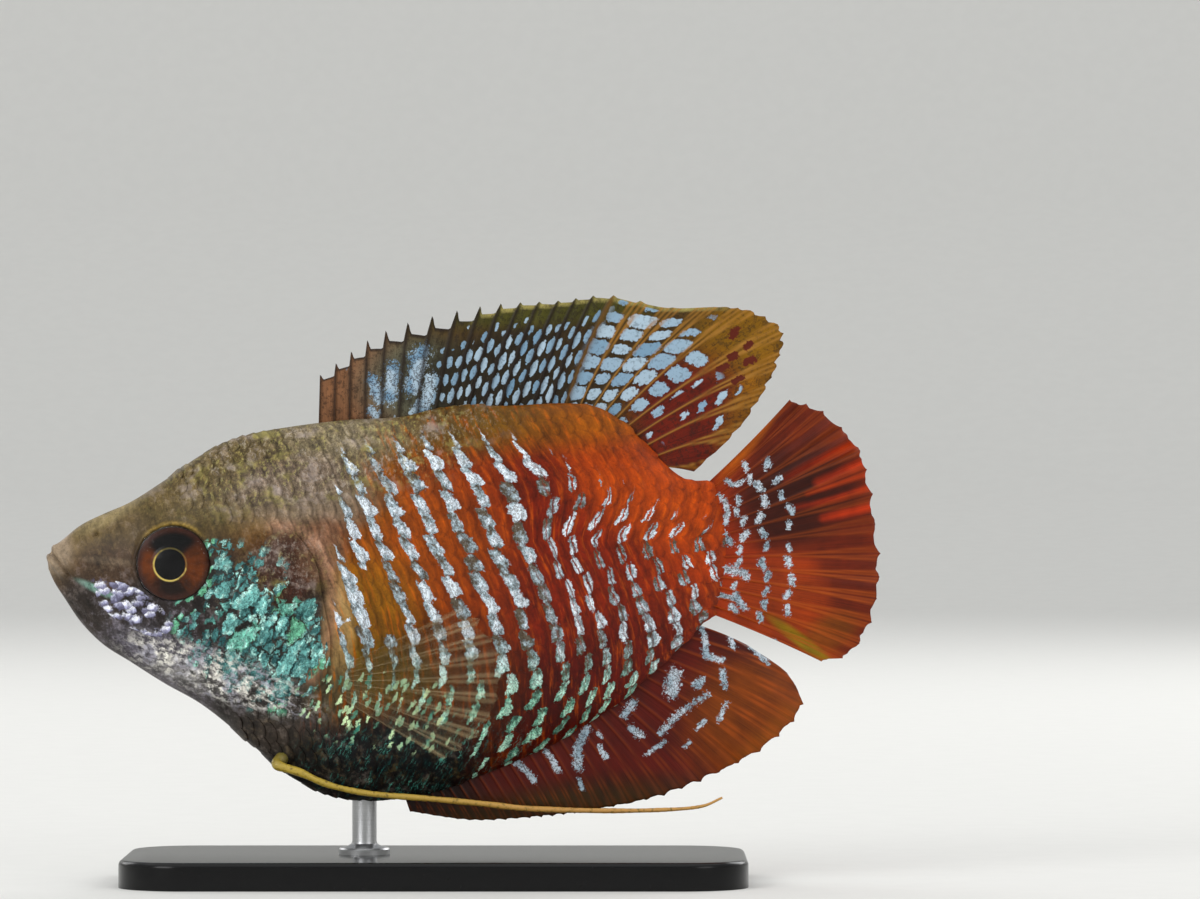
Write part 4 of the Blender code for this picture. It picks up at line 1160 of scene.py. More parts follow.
DORSAL_SPOTTED = [((46, 40.0), 14, 5.0, 7, 0.6), ((53.5, 42.2), 6.3, 3.9, -14, 0.5)]
DORSAL_FAINT, DORSAL_PLAIN = ((58.0, 37.2), 3.8, 5.2, -40, 0.5), ((57.0, 31.6), 3.0, 1.8, 20, 0.6)
DORSAL_FLECKS = [
    # between which rays the rear kind begins
    (14.6, 15.6),
    # columns and rows, half width, half length, squareness, and whether it is the rear kind
    (2.0, 5.4, 0.40, 0.42, 1.7, False),
    (1.0, 7.2, 0.46, 0.46, 3.2, True),
]
PALE_BLUES, SPINE_AND_RAY, RIM_TAN = ("7398b4", "b2c8d8"), ("20140c", "a8752c"), "b0a468"


def strokes(x, z, marks, steps=14):
    """How strongly points lie on brush strokes, each a half width and the places it runs through."""
    share = np.zeros(x.shape)
    for width, route in marks:
        share = np.maximum(share, 1 - route_distance(x, z, route, steps) / width)
    return np.clip(share, 0, 1)


def fin_colour(x, z, base, passes):
    return airbrushed(np.repeat([ink(base)[:3]], len(x), 0), x, z, passes)


def paint_fin(mesh, colour, silver, rayed, spotted=0.0, maroon=0.0):
    """Writes a fin's colours on its mesh, and its strokes, lit rays, flecks and maroon spots."""
    count = len(colour)
    set_point_values(mesh, "Ground", *colour.T, np.ones(count))
    marks = [np.broadcast_to(mark, count) for mark in (silver, rayed, spotted, maroon)]
    set_point_values(mesh, "Marks", *marks)


def branches(ray, share, fork):
    """How near points are to a ray or one of its branches, which part at the fork."""
    away = ray - np.round(ray)
    first = 0.17 * soft_step(share, fork, 1.0) ** 0.9
    second = 0.075 * soft_step(share, fork + 0.25, 1.05)
    near = np.zeros_like(ray)
    for one in (-1, 1):
        for two in (-1, 1):
            near = np.maximum(near, bulge(away - one * first - two * second, 0.075 - 0.03 * share))
    return near


def fin_sheet(name, rays, columns, rows, sheet, half, reach):
    """A webbed fin, from functions of the ray and the share of the way out along it.

    sheet gives the middle of the web and the way out of its face, half the web's half thickness,
    and reach how far out each ray goes.
    """
    work = bmesh.new()
    bmesh.ops.create_grid(work, x_segments=(rays - 1) * columns, y_segments=rows, size=0.5)
    for corner in work.verts:
        corner.co.z = -1
    copied = bmesh.ops.extrude_face_region(work, geom=list(work.faces))["geom"]
    for corner in new_corners(copied):
        corner.co.z = 1
    mesh = as_mesh(work, name)
    along, up, side = corners_of(mesh).T
    ray, share = (along + 0.5) * (rays - 1), up + 0.5
    middle, out = sheet(ray, share * reach(ray))
    thick = np.where(share > 0.999, 0.03, half(ray, share))
    places = middle + out * (side * thick)[:, None]
    set_corners(mesh, placed(places))
    faced_outwards(mesh)
    set_point_values(mesh, "Ray", ray, share, side)
    return mesh, places, ray, share


def median_sheet(root, tip, bow, wave, pleat):
    """The middle of a fin in the fish's own plane, its rays running from root to tip."""
    def sheet(ray, share):
        start, end = root(ray), tip(ray)
        run = end - start
        aside = np.stack([-run[:, 1], run[:, 0]], -1) * (bow(ray) * share * (1 - share))[:, None]
        spot = start + run * share[:, None] + aside
        y = wave(ray) * share**2 + pleat(ray, share)
        return np.stack([spot[:, 0], y, spot[:, 1]], -1), np.array([[0.0, 1.0, 0.0]])
    return sheet


def off_edge(line, x, out):
    """Places of the side view off the back or the belly: out is up, and in if it is negative."""
    step = 0.05
    slope = (line(x + step) - line(x - step)) / (2 * step)
    normal = np.stack([-slope, np.ones_like(x)], -1) / np.hypot(slope, 1.0)[:, None]
    return np.stack([x, line(x)], -1) + normal * out


def fin_finish(name, silvers, ray_inks, ray_share, flecks=None, netted=0.0):
    """Fin skin: painted web, lit rays, fine rays' grain, silver brush strokes and flecks."""
    f = Finish(name)
    place = f.place()
    ray = f.read("Ray", "Vector")
    ground = f.read("Ground", "Color")
    silver, rayed, spotted, maroon = f.channels("Marks")
    grain = f.noise(place, 3.4, 4.0, 0.65)[0]
    cloud = f.noise(place, 0.5, 3.0)[0]
    fibre = f.noise(f.stretched(ray, (16, 2.2, 0)), 1.0, 4.0, 0.65)[0]
    tone = f.plus(f.times(cloud, 0.7), f.times(fibre, 0.9))
    painted = f.toned(ground, f.scaled(tone, 1.5, -0.30), 1.10)
    net = f.noise(place, 2.6, 5.0, 0.8)[0]
    painted = f.mix(f.times(f.ramp(net, 0.50, 0.42), netted), painted, ink("1e120a"))
    wander = f.sway(place, 2.6, 3.0, 0.7)
    if flecks:
        behind = f.ramp(f.sides(ray)[0], flecks[0][0], flecks[0][1])
        for columns, rows, half_wide, half_long, squareness, is_rear in flecks[1:]:
            grid = f.stretched(ray, (columns, rows, 0))
            grid = f.vector("ADD", grid, f.stretched(wander, (0.40, 0.55, 0)))
            parts = f.sides(grid)
            column = f.sum("FLOOR", parts[0])
            shift = f.node("TexWhiteNoise", {"noise_dimensions": "1D"}, W=column).outputs["Value"]
            up = f.plus(parts[1], f.scaled(f.sum("FLOORED_MODULO", column, 2.0), 0.5, shift))
            row = f.sum("FLOOR", up)
            draws = f.draws(f.point(column, row, 0.3))
            dx = f.sum("DIVIDE", f.less(f.less(parts[0], column), 0.5), half_wide)
            dy = f.sum("DIVIDE", f.less(f.less(up, row), 0.5), half_long)
            aside, above = (f.power(f.sum("ABSOLUTE", way), squareness) for way in (dx, dy))
            away = f.power(f.plus(aside, above), 1 / squareness)
            size = f.scaled(draws[0], 0.30, 0.75)
            size = f.times(size, f.scaled(spotted, 0.65, 0.35))
            kept = f.ramp(f.scaled(spotted, 1.6, 0.05), draws[2], f.plus(draws[2], 0.08))
            fleck = f.times(f.ramp(f.less(size, away), -0.03, 0.07), kept)
            there = behind if is_rear else f.less(1.0, behind)
            fleck_ink = f.mix(draws[1], ink(silvers[0]), ink(silvers[1]))
            fleck_ink = f.mix(f.times(f.ramp(grain, 0.48, 0.36), 0.45), fleck_ink, ink("4e5a66"))
            painted = f.mix(f.times(fleck, there), painted, fleck_ink)
    torn = f.noise(place, 3.2, 4.0, 0.75)[0]
    stroke = f.ramp(f.plus(silver, f.scaled(torn, 2.2, -1.1)), 0.40, 0.50)
    stroke = f.times(stroke, f.ramp(silver, 0.02, 0.2))
    bent = f.vector("ADD", place, f.vector("SCALE", wander, scale=0.7))
    uphill = f.times(f.along(bent, (0.50, 0.0, 0.87)), 0.80)
    downhill = f.times(f.along(bent, (0.87, 0.0, -0.50)), 1.6)
    cracks = f.cells("DISTANCE_TO_EDGE", f.point(uphill, downhill), 1.25)[0]
    whole = f.most(f.ramp(cracks, 0.03, 0.12), f.ramp(silver, 0.50, 0.72))
    stroke = f.times(stroke, whole)
    stroke_ink = f.mix(f.ramp(cloud, 0.4, 0.6), ink(silvers[0]), ink(silvers[1]))
    vein = f.veins(f.noise(place, 2.2, 4.0, 0.7)[0], 0.0, 0.05)
    stroke_ink = f.mix(vein, ink("2a1408"), stroke_ink)
    painted = f.mix(stroke, painted, stroke_ink)
    ray_lit = f.times(rayed, f.scaled(fibre, 0.8 * ray_share, 0.5 * ray_share))
    ray_colour = ink(ray_inks[0])
    if flecks:
        ray_colour = f.mix(behind, ray_colour, ink(ray_inks[1]))
    else:
        ray_lit = f.times(ray_lit, f.less(1.0, stroke))
    painted = f.mix(ray_lit, painted, ray_colour)
    spot = f.ramp(f.plus(maroon, f.scaled(torn, 1.5, -0.75)), 0.36, 0.5)
    painted = f.mix(spot, painted, ink("5c1c08"))
    f.surface(
        Base_Color=painted, Roughness=f.scaled(grain, 0.2, 0.36),
        Normal=f.bumped(f.plus(fibre, f.times(grain, 0.4)), 0.05 * MM, 0.6),
        Specular_IOR_Level=0.18, Coat_Weight=0.04, Coat_Roughness=0.25,
    )
    return f.material


def dorsal_reach(ray):
    """The web's edge: torn down behind each front spine, scalloped further back, ragged at the tip."""
    part = ray - np.floor(ray)
    hard = 0.16 * (1 - soft_step(ray, 6.0, 11.0)) + 0.035
    hard *= 1 - soft_step(ray, 15.0, 18.0)
    notch = hard * np.where(part > 0, soft_step(part, 0.0, 0.25) * (0.55 + 0.45 * part), 0.0)
    notch *= 1 - bulge(part - 1.0, 0.05)
    teeth = np.abs((ray * 3.0) % 1.0 - 0.5) * 2 * (0.6 + 0.4 * np.sin(ray * 9.1))
    ragged = 0.035 * soft_step(ray, 17.8, 19.6) * teeth
    return 1 - notch - ragged


def dorsal_half(ray, share):
    spine = 1 - soft_step(ray, DORSAL_SPINES - 1.0, DORSAL_SPINES + 0.5)
    away = ray - np.round(ray)
    thick = 0.10 + 0.12 * (1 - share)
    hard = bulge(away, 0.085) * (0.34 - 0.17 * share)
    soft = branches(ray, share, 0.35) * (0.22 - 0.13 * share)
    return thick * 0.7 + hard * spine + soft * (1 - spine)


def dorsal_root(ray):
    return off_edge(back, through(DORSAL_ROOTS, ray), -FIN_ROOT_SUNK)


def dorsal_wave(ray):
    soft = np.maximum(ray - DORSAL_SPINES, 0) / (DORSAL_RAYS - DORSAL_SPINES)
    return 0.9 * soft * np.sin(1.1 * ray)


dorsal_middle = median_sheet(
    dorsal_root,
    lambda ray: through(DORSAL_TIPS, ray),
    lambda ray: 0.12 * np.minimum(ray / DORSAL_SPINES, 1.0),
    dorsal_wave,
    lambda ray, share: 0.06 * share * np.cos(2 * math.pi * ray),
)
dorsal, dorsal_places, dorsal_ray, dorsal_share = fin_sheet(
    "dorsal", DORSAL_RAYS, DORSAL_COLUMNS, DORSAL_ROWS, dorsal_middle, dorsal_half, dorsal_reach
)
fin_x, fin_z = dorsal_places[:, 0], dorsal_places[:, 2]
dorsal_rays = np.where(
    dorsal_ray < DORSAL_SPINES - 0.5, bulge(dorsal_ray - np.round(dorsal_ray), 0.13),
    branches(dorsal_ray, dorsal_share, 0.35) ** 1.8,
)
dorsal_edge = soft_step(dorsal_share, 0.955, 0.975)
dorsal_rays = np.maximum(dorsal_rays, dorsal_edge * (1 - soft_step(dorsal_ray, 6.5, 8.5)))
spotted = np.max([spot_share(fin_x, fin_z, *spot) for spot in DORSAL_SPOTTED], 0)
spotted *= soft_step(fin_x, 31.5, 36.0)
spotted = np.maximum(spotted, 0.30 * spot_share(fin_x, fin_z, *DORSAL_FAINT))
spotted *= 1 - spot_share(fin_x, fin_z, *DORSAL_PLAIN)
dorsal_colour = fin_colour(fin_x, fin_z, "5a4422", DORSAL_PASSES)
pale_rim = 0.75 * dorsal_edge * soft_step(dorsal_ray, 7.5, 8.5)
pale_rim *= 1 - soft_step(dorsal_ray, 18.0, 19.0)
dorsal_colour = laid_over(dorsal_colour, RIM_TAN, pale_rim)
paint_fin(
    dorsal, dorsal_colour, strokes(fin_x, fin_z, FRONT_PATCHES), dorsal_rays, spotted,
    strokes(fin_x, fin_z, MAROON_SPOTS),
)
dorsal_finish = fin_finish("dorsal_web", PALE_BLUES, SPINE_AND_RAY, 0.95, DORSAL_FLECKS, 0.55)
linked("dorsal_fin_web", dorsal, dorsal_finish, "dorsal_fin_skin", "dorsal_fin")


# Anal fin
# A long low fin under the rear half of the body, its short spines running on into branching soft
# rays. The web is deep red, dark olive along its lower edge and orange-brown behind, and the body's
# silver bars run out on it as ragged brush strokes.
ANAL_SPINES, ANAL_RAYS = 17, 31
ANAL_ROOTS = [
    # ray, how far behind the snout it leaves the belly
    (0, 32.2), (5, 36.1), (10, 40.8), (16, 46.2), (20, 49.8), (24, 53.2), (27, 55.8), (30, 58.8),
]
ANAL_TIPS = [
    (0, (32.7, 0.8)), (5, (38.1, 0.0)), (10, (43.5, 0.2)), (16, (49.8, 0.9)),
    (20, (55.6, 2.2)), (24, (62.4, 5.0)), (26, (66.0, 7.5)), (28, (68.2, 10.4)),
    (29, (66.8, 13.2)), (30, (63.2, 15.7)),
]
ANAL_COLUMNS, ANAL_ROWS = 7, 54
ANAL_PASSES = [
    ("front_black", (34, 2), 6, 3.2, 0, 0.9, "1a0d08", 0.95),
    ("middle_red", (50, 9), 9, 6.5, 40, 0.9, "561004", 0.85),
    ("rear_orange", (63.5, 9.5), 5.6, 6.4, -35, 0.9, "7c3a08", 0.90),
    ("low_edge", (46, 0.6), 14, 2.6, 8, 0.9, "33240a", 0.92),
    ("rear_edge", (64.5, 6.0), 7, 1.8, 48, 0.9, "8c480c", 0.70),
    ("top_dark", (62, 16.2), 3.2, 1.6, -20, 0.9, "3d0c06", 0.80),
]
SILVERS, RAY_ORANGE = ("9fb6c4", "cfdbe6"), "b4500e"
ANAL_STROKES = [
    (0.60, [(42.3, 5.2), (43.0, 4.6), (43.9, 3.6)]), (0.55, [(45.0, 6.2), (45.5, 5.5), (46.0, 4.5)]),
    (0.80, [(48.6, 8.2), (47.8, 6.4), (47.9, 4.8)]), (0.45, [(47.9, 3.7), (48.2, 2.9)]),
    (0.40, [(49.6, 7.9), (49.9, 7.5)]),
    (0.50, [(49.8, 6.6), (50.3, 5.7)]), (0.72, [(52.8, 10.6), (52.0, 9.5)]),
    (0.70, [(52.6, 8.3), (53.4, 7.7)]),
    (1.15, [(56.5, 13.2), (56.2, 11.6)]), (0.55, [(58.3, 12.2), (59.0, 12.7), (58.6, 12.0)]),
    (0.60, [(55.3, 7.9), (56.3, 9.0), (57.2, 9.8), (59.4, 11.3)]), (0.40, [(53.9, 5.9), (55.7, 7.1)]),
    (0.62, [(58.7, 18.4), (59.3, 16.3), (59.4, 14.9), (60.8, 14.4)]), (0.55, [(61.4, 17.2), (61.8, 15.6)]),
    (0.45, [(63.4, 15.6), (64.9, 14.2)]), (0.50, [(60.8, 13.5), (61.1, 12.0)]),
    (0.42, [(61.2, 10.6), (60.4, 8.9)]), (0.42, [(58.5, 8.2), (59.2, 9.0)]),
    (0.35, [(57.4, 6.6), (57.9, 7.1)]),
]


def soft_reach(rays, seed):
    """A web's edge with a shallow scallop between the rays and a little raggedness."""
    drawn = np.random.default_rng(seed).uniform(0, 1, 6 * rays + 7)

    def reach(ray):
        part = ray - np.floor(ray)
        scallop = 0.022 * np.sin(math.pi * part) ** 0.7
        rough = np.interp(ray * 6, np.arange(len(drawn)), drawn)
        return 1 - scallop - 0.016 * rough
    return reach


def soft_half(spines, root_half, tip_half, fork):
    def half(ray, share):
        spine = 1 - soft_step(ray, spines - 1.0, spines + 1.0)
        thick = 0.07 + 0.13 * (1 - share)
        hard = bulge(ray - np.round(ray), 0.10)
        near = hard * spine + branches(ray, share, fork) * (1 - spine)
        return thick + near * (root_half + (tip_half - root_half) * share)
    return half


anal_middle = median_sheet(
    lambda ray: off_edge(belly, through(ANAL_ROOTS, ray), FIN_ROOT_SUNK),
    lambda ray: through(ANAL_TIPS, ray),
    lambda ray: 0.10 * np.minimum(ray / ANAL_SPINES, 1.0),
    lambda ray: 1.1 * np.maximum(ray - ANAL_SPINES, 0) / (ANAL_RAYS - ANAL_SPINES) * np.sin(0.9 * ray),
    lambda ray, share: 0.05 * share * np.cos(2 * math.pi * ray),
)
anal, anal_places, anal_ray, anal_share = fin_sheet(
    "anal", ANAL_RAYS, ANAL_COLUMNS, ANAL_ROWS, anal_middle,
    soft_half(ANAL_SPINES, 0.22, 0.06, 0.30), soft_reach(ANAL_RAYS, 11),
)
fin_x, fin_z = anal_places[:, 0], anal_places[:, 2]
anal_lit = 0.35 + 0.65 * soft_step(fin_x, 56, 64)
anal_colour = fin_colour(fin_x, fin_z, "5c1206", ANAL_PASSES)
anal_rays = branches(anal_ray, anal_share, 0.3) * anal_lit
paint_fin(anal, anal_colour, strokes(fin_x, fin_z, ANAL_STROKES), anal_rays)
red_finish = fin_finish("red_web", SILVERS, (RAY_ORANGE,), 0.7)
linked("anal_fin_web", anal, red_finish, "red_fin_skin", "anal_fin")


# Tail fin
# A round fan of fifteen main rays that branch into a fine fringe. It is orange-red at the root, brown
# in the middle, glows orange low down, and folds in pleats near its upper edge, with bright red
# highlights painted along them. Silver brush strokes cross its root, and three arcs of silver dots
# lie between the rays.
TAIL_RAYS = 15
TAIL_TIPS = [
    (0, (67.0, 38.0)), (2, (70.0, 36.9)), (4, (73.3, 33.7)), (6, (74.5, 29.4)),
    (8, (75.2, 24.0)), (10, (75.0, 19.9)), (12, (73.4, 15.8)), (13, (71.8, 14.5)), (14, (69.9, 14.2)),
]
TAIL_COLUMNS, TAIL_ROWS = 14, 76
TAIL_ROOT, TAIL_INSET, TAIL_SUNK = 60.3, 0.4, 1.0
TAIL_PASSES = [
    ("root_glow", (61, 24.5), 5.5, 7, 0, 0.9, "b23608", 0.92),
    ("upper_lobe", (67.6, 33.6), 6.5, 5.0, 40, 0.9, "5e1c07", 0.90),
    ("brown_middle", (67.8, 28.6), 7.0, 4.8, 14, 0.8, "341006", 0.95),
    ("upper_edge", (63.8, 35.2), 5.5, 0.9, 55, 0.9, "c4661c", 0.60),
    ("lower_glow", (67, 19.5), 6.5, 4.0, -15, 0.9, "963609", 0.85),
    ("rear_red", (73.2, 21.5), 3.4, 7.5, 5, 0.9, "5c1a05", 0.86),
    ("rear_low", (70.5, 16.8), 2.6, 1.6, 30, 0.9, "7c420e", 0.75),
    ("low_olive", (68.0, 16.1), 3.6, 0.55, -37, 0.9, "96862e", 0.70),
]
# painted highlights along the tail's pleats: the half width of each, the places it runs through
FOLD_HIGHLIGHTS = [
    (0.55, [(66.5, 30.8), (69.5, 32.4), (73.0, 34.0)]), (0.70, [(69.5, 30.4), (73.6, 32.2)]),
    (0.45, [(66.8, 28.0), (70.5, 28.8), (74.0, 29.9)]), (0.60, [(70.0, 27.2), (74.2, 28.2)]),
    (0.35, [(68.5, 29.4), (73.9, 31.2)]),
]
TAIL_STROKES = [
    (0.55, [(59.3, 29.3), (60.6, 29.2), (61.3, 28.0), (61.1, 26.8)]), (0.60, [(60.9, 25.8), (61.6, 24.9)]),
    (0.45, [(61.2, 30.6), (62.0, 30.2), (62.7, 30.6)]), (0.80, [(61.2, 22.6), (62.1, 22.4)]),
    (0.55, [(60.2, 20.3), (61.8, 20.0), (62.9, 19.1)]), (0.40, [(65.4, 16.2), (66.1, 15.6)]),
]
TAIL_ARCS = [(3.5, 12.5, 0.20), (1.5, 12.5, 0.34), (2.5, 11.5, 0.49)]
DOT_SIZE, FOLD_HIGHLIGHT_RED = 0.58, "d8503a"


def tail_root(ray):
    top, bottom = back(BODY_END) - TAIL_INSET, belly(BODY_END) + TAIL_INSET
    height = top + (bottom - top) * ray / (TAIL_RAYS - 1)
    return np.stack([np.full_like(ray, TAIL_ROOT - TAIL_SUNK), height], -1)


tail_middle = median_sheet(
    tail_root, lambda ray: through(TAIL_TIPS, ray), lambda ray: 0.10 * (ray / (TAIL_RAYS - 1) - 0.5),
    lambda ray: 0.9 * np.sin(1.05 * ray) - 0.3,
    lambda ray, share: 0.12 * share * np.cos(2 * math.pi * ray)
    + 0.30 * share**2 * bulge(ray - 4.2, 2.2) * np.cos(2.6 * math.pi * ray),
)
tail, tail_places, tail_ray, tail_share = fin_sheet(
    "tail", TAIL_RAYS, TAIL_COLUMNS, TAIL_ROWS, tail_middle,
    soft_half(0, 0.26, 0.07, 0.28), soft_reach(TAIL_RAYS, 23),
)
dot_draw = np.random.default_rng(5)
tail_dots = []
for first_ray, last_ray, arc_share in TAIL_ARCS:
    for dot_ray in np.arange(first_ray, last_ray + 0.1, 1.0):
        at_ray = np.array([dot_ray + dot_draw.uniform(-0.12, 0.12)])
        at_share = np.array([arc_share + dot_draw.uniform(-0.03, 0.03)])
        spot = tail_middle(at_ray, at_share)[0][0]
        across = dot_draw.uniform(-0.25, 0.25)
        tail_dots.append((DOT_SIZE * dot_draw.uniform(0.8, 1.15), [
            (spot[0] - across, spot[2] - 0.25), (spot[0] + across, spot[2] + 0.25)]))
fin_x, fin_z = tail_places[:, 0], tail_places[:, 2]
tail_colour = fin_colour(fin_x, fin_z, "9c3208", TAIL_PASSES)
# painted highlights: bright red strokes along the pleats, stronger towards the fin's edge
fold_highlight = strokes(fin_x, fin_z, FOLD_HIGHLIGHTS, 60) * (0.15 + 0.60 * soft_step(tail_share, 0.45, 0.92))
tail_colour = laid_over(tail_colour, FOLD_HIGHLIGHT_RED, fold_highlight)
tail_lit = 0.45 + 0.55 * (1 - soft_step(fin_z, 21, 26))
tail_rays = branches(tail_ray, tail_share, 0.28) * tail_lit
paint_fin(tail, tail_colour, strokes(fin_x, fin_z, TAIL_STROKES + tail_dots), tail_rays)
linked("tail_fin_web", tail, red_finish, "red_fin_skin", "tail_fin")


# Pectoral fins
# A small clear fan behind each gill cover, of ten hair-thin rays in a web like wet film. It leaves
# the flank square on and turns back, so that the bars show through it.
PECTORAL_ROOT, PECTORAL_ROOT_HALF = (26.7, 12.7), 1.35
PECTORAL_RAYS, PECTORAL_TOP, PECTORAL_BOTTOM = 10, 27.0, -29.0
PECTORAL_LENGTHS = [(0, 12.8), (3, 15.0), (6, 14.2), (9, 11.2)]
PECTORAL_STANDOFF, PECTORAL_OUT, CLEARANCE = 1.3, 13.0, 0.3
PECTORAL_COLUMNS, PECTORAL_ROWS = 9, 44


def pectoral_sheet(side):
    outwards = math.radians(PECTORAL_OUT)

    def sheet(ray, share):
        fan = ray / (PECTORAL_RAYS - 1)
        x = PECTORAL_ROOT[0] + 0.25 * np.sin(math.pi * fan)
        z = PECTORAL_ROOT[1] + PECTORAL_ROOT_HALF * (1 - 2 * fan)
        start = on_flank(x, z, side, -0.25)
        elbow = on_flank(x, z, side, CLEARANCE + PECTORAL_STANDOFF)
        turn = np.radians(PECTORAL_TOP + (PECTORAL_BOTTOM - PECTORAL_TOP) * fan)
        level = np.cos(turn)
        away = np.stack([
            level * math.cos(outwards), np.full_like(turn, side * math.sin(outwards)), np.sin(turn)], -1)
        end = elbow + away * through(PECTORAL_LENGTHS, ray)[:, None]
        near, far = (1 - share)[:, None], share[:, None]
        point = start * near**2 + elbow * (2 * near * far) + end * far**2
        ahead = (elbow - start) * near + (end - elbow) * far
        across = np.cross(ahead, (0.0, 0.0, 1.0))
        across /= np.linalg.norm(across, axis=1, keepdims=True)
        point += across * (0.10 * share * np.cos(2 * math.pi * ray))[:, None]
        return point, across
    return sheet


def clear_finish():
    """Film between pale rays, see-through away from them."""
    f = Finish("clear_web")
    ray = f.read("Ray", "Vector")
    lit = f.read("Lit", "Fac")
    fibre = f.noise(f.stretched(ray, (9, 1.6, 0)), 1.0, 4.0, 0.7)[0]
    share = f.sides(ray)[1]
    alpha = f.scaled(lit, f.scaled(fibre, 0.24, -0.02), 0.055)
    alpha = f.plus(alpha, f.times(f.ramp(fibre, 0.48, 0.70), 0.12))
    alpha = f.times(alpha, f.scaled(share, -0.70, 1.5), clamp=True)
    f.surface(
        Base_Color=f.mix(lit, ink("7e6848"), ink("c0a87c")), Alpha=alpha, Roughness=0.34,
        Normal=f.bumped(fibre, 0.03 * MM), Specular_IOR_Level=0.2,
    )
    return f.material


clear_material = clear_finish()
for fin_side, fin_name in SIDES:
    pectoral, _, pectoral_ray, pectoral_share = fin_sheet(
        "pectoral_" + fin_name, PECTORAL_RAYS, PECTORAL_COLUMNS, PECTORAL_ROWS, pectoral_sheet(fin_side),
        lambda ray, share: 0.035 + 0.03 * (1 - share) + branches(ray, share, 0.4) * (0.13 - 0.09 * share),
        soft_reach(PECTORAL_RAYS, 31),
    )
    set_point_values(pectoral, "Lit", branches(pectoral_ray, pectoral_share, 0.4))
    linked(
        "pectoral_web_" + fin_name, pectoral, clear_material,
        "clear_fin_skin", "pectoral_fin_" + fin_name,
    )


# Pelvic filaments
# Each pelvic fin is one long feeler, a single drawn-out ray in a golden sheath, thickest where it
# leaves the breast and trailing back under the belly.
PELVIC_ROOT = (21.3, 5.7)
PELVIC_ROUTES = {
    "left": [
        (23.0, 3.65, 4.5), (25.5, 3.4, 3.4), (29.1, 3.1, 2.6), (34.5, 2.5, 2.1), (39.0, 2.0, 1.65),
        (43.5, 1.6, 1.15), (49.8, 1.45, 0.95), (55.0, 1.5, 1.0), (58.8, 1.6, 1.3), (60.8, 1.7, 2.1),
    ],
    "right": [
        (23.0, 3.65, 4.6), (25.5, 3.4, 3.7), (29.1, 3.1, 3.3), (34.5, 2.7, 3.1), (39.0, 2.5, 3.0),
        (43.5, 2.3, 2.9), (49.8, 2.1, 3.1), (55.0, 2.1, 3.9), (58.2, 2.2, 4.6),
    ],
}
FILAMENT_STEPS, FILAMENT_SIDES = 14, 12
FILAMENT_ROOT, FILAMENT_HALF, FILAMENT_TIP = 0.60, 0.27, 0.10


def filament_mesh(name, side, route):
    """A tube drawn along a smooth route, thinning to its tip, with faint joints along it."""
    keys = [(0, tuple(on_flank(*PELVIC_ROOT, side, -0.3)))]
    keys.append((1, tuple(on_flank(*PELVIC_ROOT, side, 1.0))))
    keys += [(n + 2, (x, side * out, z)) for n, (x, out, z) in enumerate(route)]
    last = keys[-1][0]
    work = bmesh.new()
    bmesh.ops.create_cone(
        work, cap_ends=True, segments=FILAMENT_SIDES, radius1=1, radius2=1, depth=1,
        matrix=Matrix.Translation((0, 0, 0.5)),
    )
    upright = [edge for edge in work.edges if abs(edge.verts[0].co.z - edge.verts[1].co.z) > 0.5]
    bmesh.ops.subdivide_edges(work, edges=upright, cuts=last * FILAMENT_STEPS - 1)
    mesh = as_mesh(work, name)
    side_x, side_y, share = corners_of(mesh).T
    at = share * last
    step = 0.02
    middle = through(keys, at)
    ahead = through(keys, np.minimum(at + step, last)) - through(keys, np.maximum(at - step, 0))
    ahead /= np.linalg.norm(ahead, axis=1, keepdims=True)
    across = np.cross(ahead, (0.0, 1.0, 0.0))
    across /= np.linalg.norm(across, axis=1, keepdims=True)
    over = np.cross(ahead, across)
    half = FILAMENT_HALF + (FILAMENT_ROOT - FILAMENT_HALF) * np.clip(1 - at / 3.5, 0, 1) ** 1.5
    half += (FILAMENT_TIP - FILAMENT_HALF) * np.clip(at - last + 4, 0, 4) / 4
    half *= 1 + 0.05 * np.sin(at * 40) * (at > 2) + 0.06 * np.sin(at * 7.1)
    round_it = across * side_x[:, None] + over * side_y[:, None]
    set_corners(mesh, placed(middle + round_it * half[:, None]))
    set_point_values(mesh, "Along", share)
    mesh.shade_smooth()
    return mesh


def filament_finish():
    f = Finish("golden_sheath")
    along = f.read("Along", "Fac")
    place = f.place()
    grain = f.noise(place, 2.6, 4.0, 0.65)[0]
    colour = f.mix(f.ramp(along, 0.0, 0.16), ink("6a6228"), ink("c0a43c"))
    colour = f.mix(f.ramp(along, 0.25, 0.75), colour, ink("cf9a50"))
    colour = f.mix(f.ramp(grain, 0.50, 0.72), colour, ink("7c6420"))
    f.surface(
        Base_Color=colour, Roughness=0.4, Normal=f.bumped(grain, 0.05 * MM), Specular_IOR_Level=0.45,
        Coat_Weight=0.2, Coat_Roughness=0.2,
    )
    return f.material


filament_material = filament_finish()
for fin_side, fin_name in SIDES:
    filament = filament_mesh("pelvic_" + fin_name, fin_side, PELVIC_ROUTES[fin_name])
    linked(
        "pelvic_filament_" + fin_name, filament, filament_material,
        "filament", "pelvic_fin_" + fin_name,
    )


# Gill covers
# A bony plate over the gills on each side, painted on with the cheek. Its front runs into the skin,
# and its rear edge stands clear of the shoulder as a thin lip.
GILL_MIDDLE = (20.7, 18.4)
GILL_REACH = [4.7, 4.9, 6.6, 8.4, 7.2, 5.2, 4.3, 4.1, 4.6, 6.4, 7.4, 5.8]
GILL_AROUND, GILL_RINGS = 144, 44
GILL_PROUD, GILL_SUNK, GILL_WALL = 0.40, 0.45, 0.22


